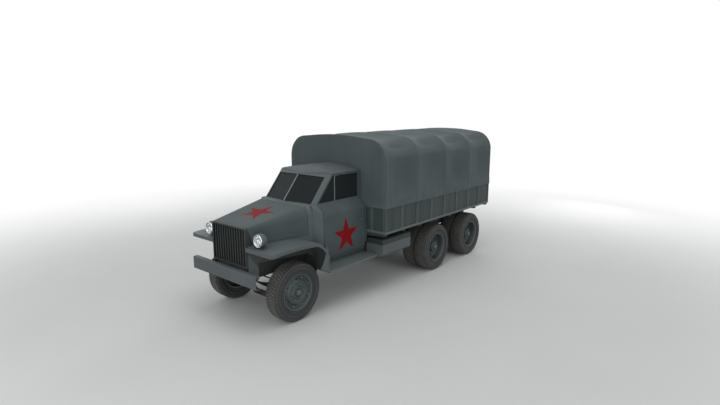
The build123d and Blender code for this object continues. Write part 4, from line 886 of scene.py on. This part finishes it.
def standing_off(x, y, z, lean):
    """How far the cloth's face stands out from the tilt's outline, at a point of the outline."""
    on_side = lean < upright
    seam = any(abs(x - place) <= seam_half + 0.001 for place in bow_places[1:-1])
    out = lap * ((z < hem_top and on_side) + seam) - cloth_inset - hollow(x, z, lean)
    # Both ends are bound with a welt
    if tilt_front - 0.0225 <= x <= tilt_front - 0.0079 or x < tilt_rear + 0.0455:
        out += 0.003
    # The hem stands off the boards, more towards its foot, and waves along them
    if on_side and z < flare_top:
        wave = math.sin(x * math.tau / 0.485) * 0.5 + 0.5
        out += 0.006 * (flare_top - z) / 0.16 * (0.7 + 0.4 * wave)
    creases = noise.noise(Vector((x * 2.3, y * 2.0, z * 2.6))) * 0.5
    creases += noise.noise(Vector((x * 7.0, y * 5.0, z * 4.0))) * 0.22
    slack = clamped((z - hem_top) / 0.15) if on_side else 1.0
    out -= 0.007 * slack * max(0.0, creases + 0.25) * (0.25 if seam else 1.0)
    return out - 0.004 if x > tilt_front - 0.0029 else out


def hang_front(shape, edge):
    """The front wall, in rows between the two sides of the front edge."""
    count, parts = len(edge) // 2, 24
    wall = []
    for right, left in zip(edge[:count], edge[:count:-1]):
        z = right.co.z
        row = [right]
        for step in range(1, parts):
            y = between(right.co.y, left.co.y, step / parts)
            high = min(1.0, (z - tilt_foot) / front_drop)
            bulge = 0.010 * math.sin(math.pi * step / parts) * math.sin(math.pi * high)
            ripple = noise.noise(Vector((3.1, y * 2.2, z * 1.7))) * 0.004 + lap * (z < hem_top)
            over_board = 0.0075 * max(0.0, 1 - (z - tilt_foot) / 0.05)
            row.append(shape.verts.new((tilt_front + ripple - bulge + over_board, y, z)))
        wall.append([*row, left])
    lay_faces(shape, wall)
    for near, beyond in zip(wall[-1], wall[-1][1:]):
        shape.faces.new((near, beyond, edge[count]))


def tilt_mesh():
    rows = tilt_profile()
    outline = rows + [(-y, z, -ny, nz) for y, z, ny, nz in reversed(rows[:-1])]
    shape = bmesh.new()
    skin = []
    for x in tilt_columns():
        ring = []
        for y, z, ny, nz in outline:
            out = standing_off(x, y, z, nz)
            ring.append(shape.verts.new((x, y + ny * out, z + nz * out)))
        skin.append(ring)
    lay_faces(shape, skin)
    hang_front(shape, skin[0])
    return made("tilt_cloth", shape)


def duck_cloth(name, colour, faded):
    """Woven cotton duck: a plain weave, water streaks, dust along the hem, and lighter where it faces
    up, which is sun fading and painted light.
    """
    finish = Finish(name, roughness=0.88)
    _, (x, y, z) = finish.place()
    broad = finish.patches(1.1, 4.0, 0.3, 0.72)
    streaks = finish.patches(5.0, 5.0, 0.35, 0.75, (1.0, 1.0, 0.12))
    # Lighter where the cloth faces up: sun fading and painted light
    top = finish.band(finish.upward(), 0.1, 0.9)
    cloth = finish.mix(broad * 0.35 + streaks * 0.25 + top * 0.35, colour, faded)
    from_bow = ((x - bow_places[0]) / bow_pitch).maths("PINGPONG", 0.5) * bow_pitch
    on_sides = x < tilt_front - 0.02
    seam_line = finish.line(from_bow, seam_half - 0.005, 0.0012, 0.0024) * on_sides
    hem_line = finish.line(z, hem_top - 0.008, 0.0012, 0.0024)
    stitch = ((x + y + z) / 0.007).maths("FRACT") > 0.35
    thread = seam_line.maths("MAXIMUM", hem_line) * stitch
    edge = finish.line(from_bow, seam_half, 0.002, 0.006) * on_sides
    rubbed = finish.mix(edge * 0.35, cloth, tone(104, 113, 112))
    hem_dust = (1 - finish.band(z, 1.56, 1.66)) * finish.patches(6.0, 5.0, 0.3, 0.7)
    dusted = finish.mix(hem_dust * 0.2, rubbed, tone(96, 105, 104))
    finish.tint(thread * 0.6, dusted, tone(52, 58, 58))
    warp = ((x + z * 0.35) * 2400.0).maths("SINE")
    weft = ((y + z) * 2400.0).maths("SINE")
    fibre = finish.clouds(420.0, 2.0)
    weave = warp * weft * 0.25 + fibre * 0.6
    finish.relief(weave + finish.clouds(26.0, 4.0) * 2.2 - thread * 1.5, 0.0011, 0.6)
    return finish


tilt_data = tilt_mesh()
coat(tilt_data, duck_cloth("canvas_duck", tone(71, 80, 81), tone(88, 97, 97)))
tilt = stand("canvas_cover", tilt_data, "chassis")
shell = tilt.modifiers.new("cloth_thickness", "SOLIDIFY")
shell.thickness = cloth_thick
shell.offset = -1
shell.use_quality_normals = True
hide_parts("canvas_tilt")
half_rows = tilt_profile()
steps = list(zip(half_rows, half_rows[1:]))
cut_width = 2 * sum(math.dist(a[:2], b[:2]) for a, b in steps)
front_area = 2 * sum((a[0] + b[0]) / 2 * (b[1] - a[1]) for a, b in steps)
cut_area = cut_width * (tilt_front - tilt_rear) + front_area


# Headlamps: pressed bowls on posts, each with a chromed rim, a silvered reflector and a fluted
# lens held in by the rim.
lamp_reach = 0.108
lamp_x, outer_y, top_z = corners_of("headlamps")[1]
lamp_y, lamp_z = outer_y - lamp_reach, top_z - lamp_reach
forward = Matrix.Rotation(math.radians(-90), 4, "Z")
tarnish, cloudy = (24.0, 5.0, 0.45, 0.75), (30.0, 4.0, 0.5, 0.8)
chrome = worn("lamp_chrome", 1.0, tarnish, 0.5, tone(226, 228, 230), tone(150, 150, 148), 0.10, 0.22)
silver = worn("lamp_silver", 1.0, cloudy, 0.4, tone(238, 240, 242), tone(186, 188, 188), 0.05, 0.15)
bowl_loop = [
    (-0.012, 0.093), (-0.022, 0.100), (-0.034, 0.1055), (-0.050, lamp_reach), (-0.068, 0.1065),
    (-0.086, 0.101), (-0.104, 0.091), (-0.122, 0.076), (-0.138, 0.056), (-0.149, 0.032),
    (-0.153, 0.0004), (-0.146, 0.0004), (-0.140, 0.034), (-0.124, 0.060), (-0.100, 0.082),
    (-0.060, 0.098), (-0.030, 0.094), (-0.014, 0.087),
]
rim_loop = [
    (-0.018, 0.0925), (-0.013, 0.0965), (-0.005, 0.097), (0.001, 0.0945), (0.002, 0.090),
    (-0.001, 0.0855), (-0.006, 0.083), (-0.014, 0.084),
]
reflector_loop = [
    (-0.010, 0.083), (-0.026, 0.079), (-0.048, 0.068), (-0.070, 0.050), (-0.084, 0.029),
    (-0.088, 0.014), (-0.060, 0.013), (-0.052, 0.010), (-0.048, 0.0004), (-0.094, 0.0004),
    (-0.092, 0.030), (-0.076, 0.054), (-0.052, 0.073), (-0.028, 0.083), (-0.012, 0.0845),
]
lamp_parts = []
for name, loop, count, finish, slot in (
    ("lamp_bowl", bowl_loop, 64, body_paint, "body_paint"),
    ("lamp_rim", rim_loop, 72, chrome, "lamp_chrome"),
    ("lamp_reflector", reflector_loop, 64, silver, "lamp_chrome"),
):
    data = lathe(name, loop, count)
    coat(data, finish)
    lamp_parts.append((name, data, slot))


def lens_mesh(reach, thick, parts=24):
    """A domed glass with upright flutes moulded inside it."""
    shape = bmesh.new()
    across = [step / parts * 2 - 1 for step in range(parts + 1)]
    borders = []
    for inner in (0, 1):
        grid = []
        for v in across:
            row = []
            for u in across:
                # A square grid pressed into a disc keeps the flutes upright
                y, z = u * math.sqrt(1 - v * v / 2) * reach, v * math.sqrt(1 - u * u / 2) * reach
                dome = 0.013 * (1 - (y * y + z * z) / (reach * reach))
                flute = 0.0012 * math.cos(y * math.tau / 0.0158) if inner else 0.0
                row.append(shape.verts.new((dome - inner * thick + flute, y, z)))
            grid.append(row)
        lay_faces(shape, grid)
        ends = [row[-1] for row in grid[1:]], [row[0] for row in grid[-2:0:-1]]
        borders.append(grid[0] + ends[0] + grid[-1][-2::-1] + ends[1])
    lay_faces(shape, borders, ring=True)
    return made("lamp_lens", shape)


lens_glass = Finish("lamp_glass", roughness=0.05)
lens_glass.shader.inputs["Specular IOR Level"].default_value = 0.6
road_film = lens_glass.patches(16.0, 5.0, 0.4, 0.8)
lens_glass.tint(road_film, tone(200, 206, 208), tone(150, 152, 148))
lens_glass.drive("Alpha", 0.22 + 0.14 * road_film)
lens_data = lens_mesh(0.0835, 0.004)
coat(lens_data, lens_glass)
post = bmesh.new()
post_z = (-0.150, -0.144, -0.138, -0.100, -0.086, -0.062)
rod_along(post, [(0, 0, z) for z in post_z], (0.030, 0.030, 0.020, 0.016, 0.024, 0.030), 20)
post_data = made("lamp_post", post, sharp=40)
coat(post_data, body_paint)
for side, hand in sides:
    place = (lamp_x, hand * lamp_y, lamp_z)
    for name, data, slot in lamp_parts:
        part = stand(f"{name}_{side}", data, "chassis", place, forward)
        if slot == "body_paint":
            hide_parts("headlamps")
    place = (lamp_x - 0.008, hand * lamp_y, lamp_z)
    lens = stand(f"lamp_lens_{side}", lens_data, "chassis", place)
    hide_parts("headlamp_lenses")
    place = (lamp_x - 0.062, hand * lamp_y, lamp_z)
    stand(f"lamp_post_{side}", post_data, "chassis", place)


# Bench seat: a sprung cushion and a back in oilcloth over horsehair, each sewn into channels
# side by side and blown up from inside as cloth.
def settle(piece):
    """Applies every modifier to the mesh."""
    bpy.context.view_layer.update()
    evaluated = piece.evaluated_get(bpy.context.evaluated_depsgraph_get())
    final = bpy.data.meshes.new_from_object(evaluated)
    piece.modifiers.clear()
    piece.data = final


def stuffed(name, low, high, channels, run):
    """A pad that fills a box: swelled by air pressure, then pulled in between its channels."""
    middle = (Vector(low) + Vector(high)) / 2
    size = Vector(high) - Vector(low)
    slack, swell, channel = 0.030, 0.014, 0.012
    shape = bmesh.new()
    bmesh.ops.create_cube(shape, size=1.0)
    bmesh.ops.scale(shape, vec=size - Vector((slack, slack, slack)), verts=shape.verts)
    bmesh.ops.bevel(shape, geom=shape.edges[:], offset=0.030, segments=4, affect="EDGES", profile=0.6)
    data = made(name, shape)
    pad = bpy.data.objects.new(name, data)
    pad.location = middle
    bpy.context.scene.collection.objects.link(pad)
    grid = pad.modifiers.new("even_grid", "REMESH")
    grid.mode = "VOXEL"
    grid.voxel_size = 0.014
    settle(pad)
    before = [vertex.co.copy() for vertex in pad.data.vertices]
    cloth = pad.modifiers.new("stuffing", "CLOTH")
    cloth.settings.use_pressure = True
    cloth.settings.uniform_pressure_force = 4.0
    cloth.settings.effector_weights.gravity = 0.0
    cloth.settings.quality = 4
    for step in range(1, 21):
        bpy.context.scene.frame_set(step)
    settle(pad)
    bpy.context.scene.frame_set(1)
    for vertex, rest in zip(pad.data.vertices, before):
        moved = vertex.co - rest
        if moved.length > swell:
            vertex.co = rest + moved * (swell / moved.length)
    smooth = pad.modifiers.new("surface", "SUBSURF")
    smooth.levels = smooth.render_levels = 1
    settle(pad)
    half = [extent / 2 for extent in size]
    pitch = size.y / channels
    for vertex in pad.data.vertices:
        co = vertex.co
        face = max(0.0, co[run] / half[run])
        line = (co.y + size.y / 2) / pitch
        gap = abs(line - round(line)) * pitch
        if 0 < round(line) < channels:
            co[run] -= channel * min(face * 1.6, 1.0) * math.exp(-((gap / 0.010) ** 2))
        for axis in range(3):
            co[axis] = min(max(co[axis], -half[axis]), half[axis])
    pad.data.polygons.foreach_set("use_smooth", [True] * len(pad.data.polygons))
    return pad


polish = (5.0, 5.0, 0.35, 0.7)
oilcloth = worn("seat_oilcloth", 0.0, polish, 1.0, tone(58, 50, 42), tone(78, 68, 57), 0.42, 0.2)
grain_place = {"Vector": oilcloth.place()[0], "Scale": 260.0}
grained = oilcloth.add("ShaderNodeTexVoronoi", {"feature": "DISTANCE_TO_EDGE"}, grain_place)
oilcloth.relief(grained.maths("MINIMUM", 0.12) * 4.0 + oilcloth.clouds(30.0, 4.0), 0.0012, 0.6)
for name, node, run in (("bench_cushion", "seat_cushion", 2), ("bench_back", "seat_back", 0)):
    low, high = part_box(node)
    pad = stuffed(name, low, high, 7, run)
    pad.data.materials.clear()
    coat(pad.data, oilcloth)
    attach(pad, "chassis")
    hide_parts(node)


# Window strips: bright rolled strips on the windscreen's centre bar and on the vent bars of
# the doors, each pinned over the putty line.
def strip(name, start, end, out, width, body):
    """A half-round strip from start to end, standing off towards out."""
    start, end, out = Vector(start), Vector(end), Vector(out)
    run = (end - start).normalized()
    up = (out - out.dot(run) * run).normalized()
    across = run.cross(up)
    turns = [math.pi * step / 8 for step in range(9)]
    arc = [width * (across * math.cos(t) / 2 + up * math.sin(t) * 0.35) for t in turns]
    shape = bmesh.new()
    rings = [[shape.verts.new(point + off) for off in arc] for point in (start, end)]
    lay_faces(shape, rings, ring=True, caps=True)
    fit(name, shape, strip_steel, body, sharp=50)


rubbed = (30.0, 5.0, 0.4, 0.75)
strip_steel = worn("strip_steel", 0.35, rubbed, 0.5, tone(132, 138, 138), tone(96, 102, 102), 0.32, 0.2)
# The windscreen leans back by rake for each metre up from its foot
screen_x, screen_z, rake = 1.957, 1.700, 0.819
foot, head = ((screen_x - rake * rise, 0.0, screen_z + rise) for rise in (0.012, 0.418))
strip("screen_strip", foot, head, (1, 0, rake), 0.016, "chassis")
vent_x, vent_y = 1.357, 0.6125
for side, hand in sides:
    foot, head = ((vent_x, hand * vent_y, z) for z in (1.708, 2.112))
    strip(f"vent_strip_{side}", foot, head, (0, hand, 0), 0.012, f"door_{side}")


# Small fittings: domed bolts through the battens, strap hinges on the gate, lever handles and
# barrel hinges on the doors, and the tail lamps' domed red glasses in their rings.
def dome_bolt(shape, place, out, size):
    """A carriage bolt's head, standing off a face towards out."""
    place, out = Vector(place), Vector(out)
    points = [place + out * rise * size for rise in (-0.2, 0.0, 0.25, 0.45, 0.55)]
    rod_along(shape, points, [reach * size for reach in (1.0, 1.0, 0.92, 0.66, 0.3)], 10)


def strap(shape, low, high, edge):
    """A flat steel strap with eased edges."""
    low, high = Vector(low), Vector(high)
    box = Matrix.Translation((low + high) / 2) @ Matrix.Diagonal((*(high - low), 1))
    corners = bmesh.ops.create_cube(shape, size=1.0, matrix=box)["verts"]
    edges = {side for corner in corners for side in corner.link_edges}
    bmesh.ops.bevel(shape, geom=list(edges), offset=edge, segments=2, affect="EDGES")


def skin_at(node, x, z, hand):
    """How far out a node's side is at a place on it."""
    _, hit, _, _ = nodes[node].ray_cast(Vector((x, hand * 3.0, z)), Vector((0, -hand, 0)))
    return hit.y


fitting_iron = dusty_steel("fitting_iron", tone(66, 75, 76), tone(88, 92, 90), 0.5)
bolt_size = 0.010
batten_x = [bed_front - 0.014, *(bed_front - batten_pitch * k for k in range(1, 8)), bed_rear + 0.014]
handle_x, handle_z = 0.845, 1.330
# The handle's grip from its boss backwards: (along, rise off the door, drop, radius)
grip = (
    (0.0, 0.004, 0.0, 0.011), (0.0, 0.026, 0.0, 0.011), (0.005, 0.034, 0.001, 0.0105),
    (0.025, 0.038, 0.002, 0.010), (0.085, 0.038, 0.004, 0.009), (0.123, 0.033, 0.005, 0.006),
)
barrel_x, barrel_half = 1.752, 0.045
leaf_rear, leaf_front, leaf_half = 1.690, 1.750, 0.032
for side, hand in sides:
    door = f"door_{side}"
    shape = bmesh.new()
    for x in batten_x:
        for z in (1.165, 1.325, 1.485):
            dome_bolt(shape, (x, hand * boards_y, z), (0, hand, 0), bolt_size)
    fit(f"batten_bolts_{side}", shape, fitting_iron, "chassis")
    shape = bmesh.new()
    out = skin_at(door, handle_x, handle_z, hand)
    boss = [(handle_x, out + hand * rise, handle_z) for rise in (-0.003, 0.006)]
    rod_along(shape, boss, (0.024, 0.021), 20)
    bar = [(handle_x + along, out + hand * rise, handle_z - drop) for along, rise, drop, _ in grip]
    rod_along(shape, bar, [reach for *_, reach in grip])
    fit(f"door_handle_{side}", shape, body_paint, door)
    shape = bmesh.new()
    for z in (1.000, 1.520):
        out = skin_at(door, 1.735, z, hand)
        barrel = [(barrel_x, out + hand * 0.006, z + half) for half in (-barrel_half, barrel_half)]
        rod_along(shape, barrel, (0.010, 0.010), 16)
        near, far = sorted((out - hand * 0.002, out + hand * 0.005))
        strap(shape, (leaf_rear, near, z - leaf_half), (leaf_front, far, z + leaf_half), 0.002)
    fit(f"door_hinges_{side}", shape, body_paint, door)

shape = bmesh.new()
strap_rear, strap_front, strap_half = -3.190, -3.1835, 0.024
for y in (-0.78, 0.0, 0.78):
    strap(shape, (strap_rear, y - strap_half, 1.130), (strap_front, y + strap_half, 1.440), 0.002)
    for z in (1.170, 1.280, 1.400):
        dome_bolt(shape, (strap_rear, y, z), (-1, 0, 0), bolt_size)
fit("gate_straps", shape, fitting_iron, "tailgate")

film = (40.0, 4.0, 0.4, 0.8)
tail_red = worn("tail_glass_red", 0.0, film, 0.5, tone(150, 14, 16), tone(98, 30, 28), 0.14, 0.3)
dome = [(0.0, 0.030), (0.008, 0.029), (0.013, 0.022), (0.016, 0.012), (0.017, 0.0004)]
dome += [(-0.002, 0.0004), (-0.002, 0.030)]
collar = [(0.0, 0.030), (0.006, 0.031), (0.009, 0.034), (0.006, 0.038)]
collar += [(-0.002, 0.038), (-0.002, 0.030)]
tail_data, ring_data = lathe("tail_glass", dome, 32), lathe("tail_ring", collar, 32)
coat(tail_data, tail_red)
coat(ring_data, fitting_iron)
backward = Matrix.Rotation(math.radians(90), 4, "Z")
tail_x, tail_y, tail_z = corners_of("tail_lamps")[0][0], 0.820, 0.9725
for side, hand in sides:
    place = (tail_x, hand * tail_y, tail_z)
    stand(f"tail_glass_{side}", tail_data, "chassis", place, backward)
    stand(f"tail_ring_{side}", ring_data, "chassis", place, backward)
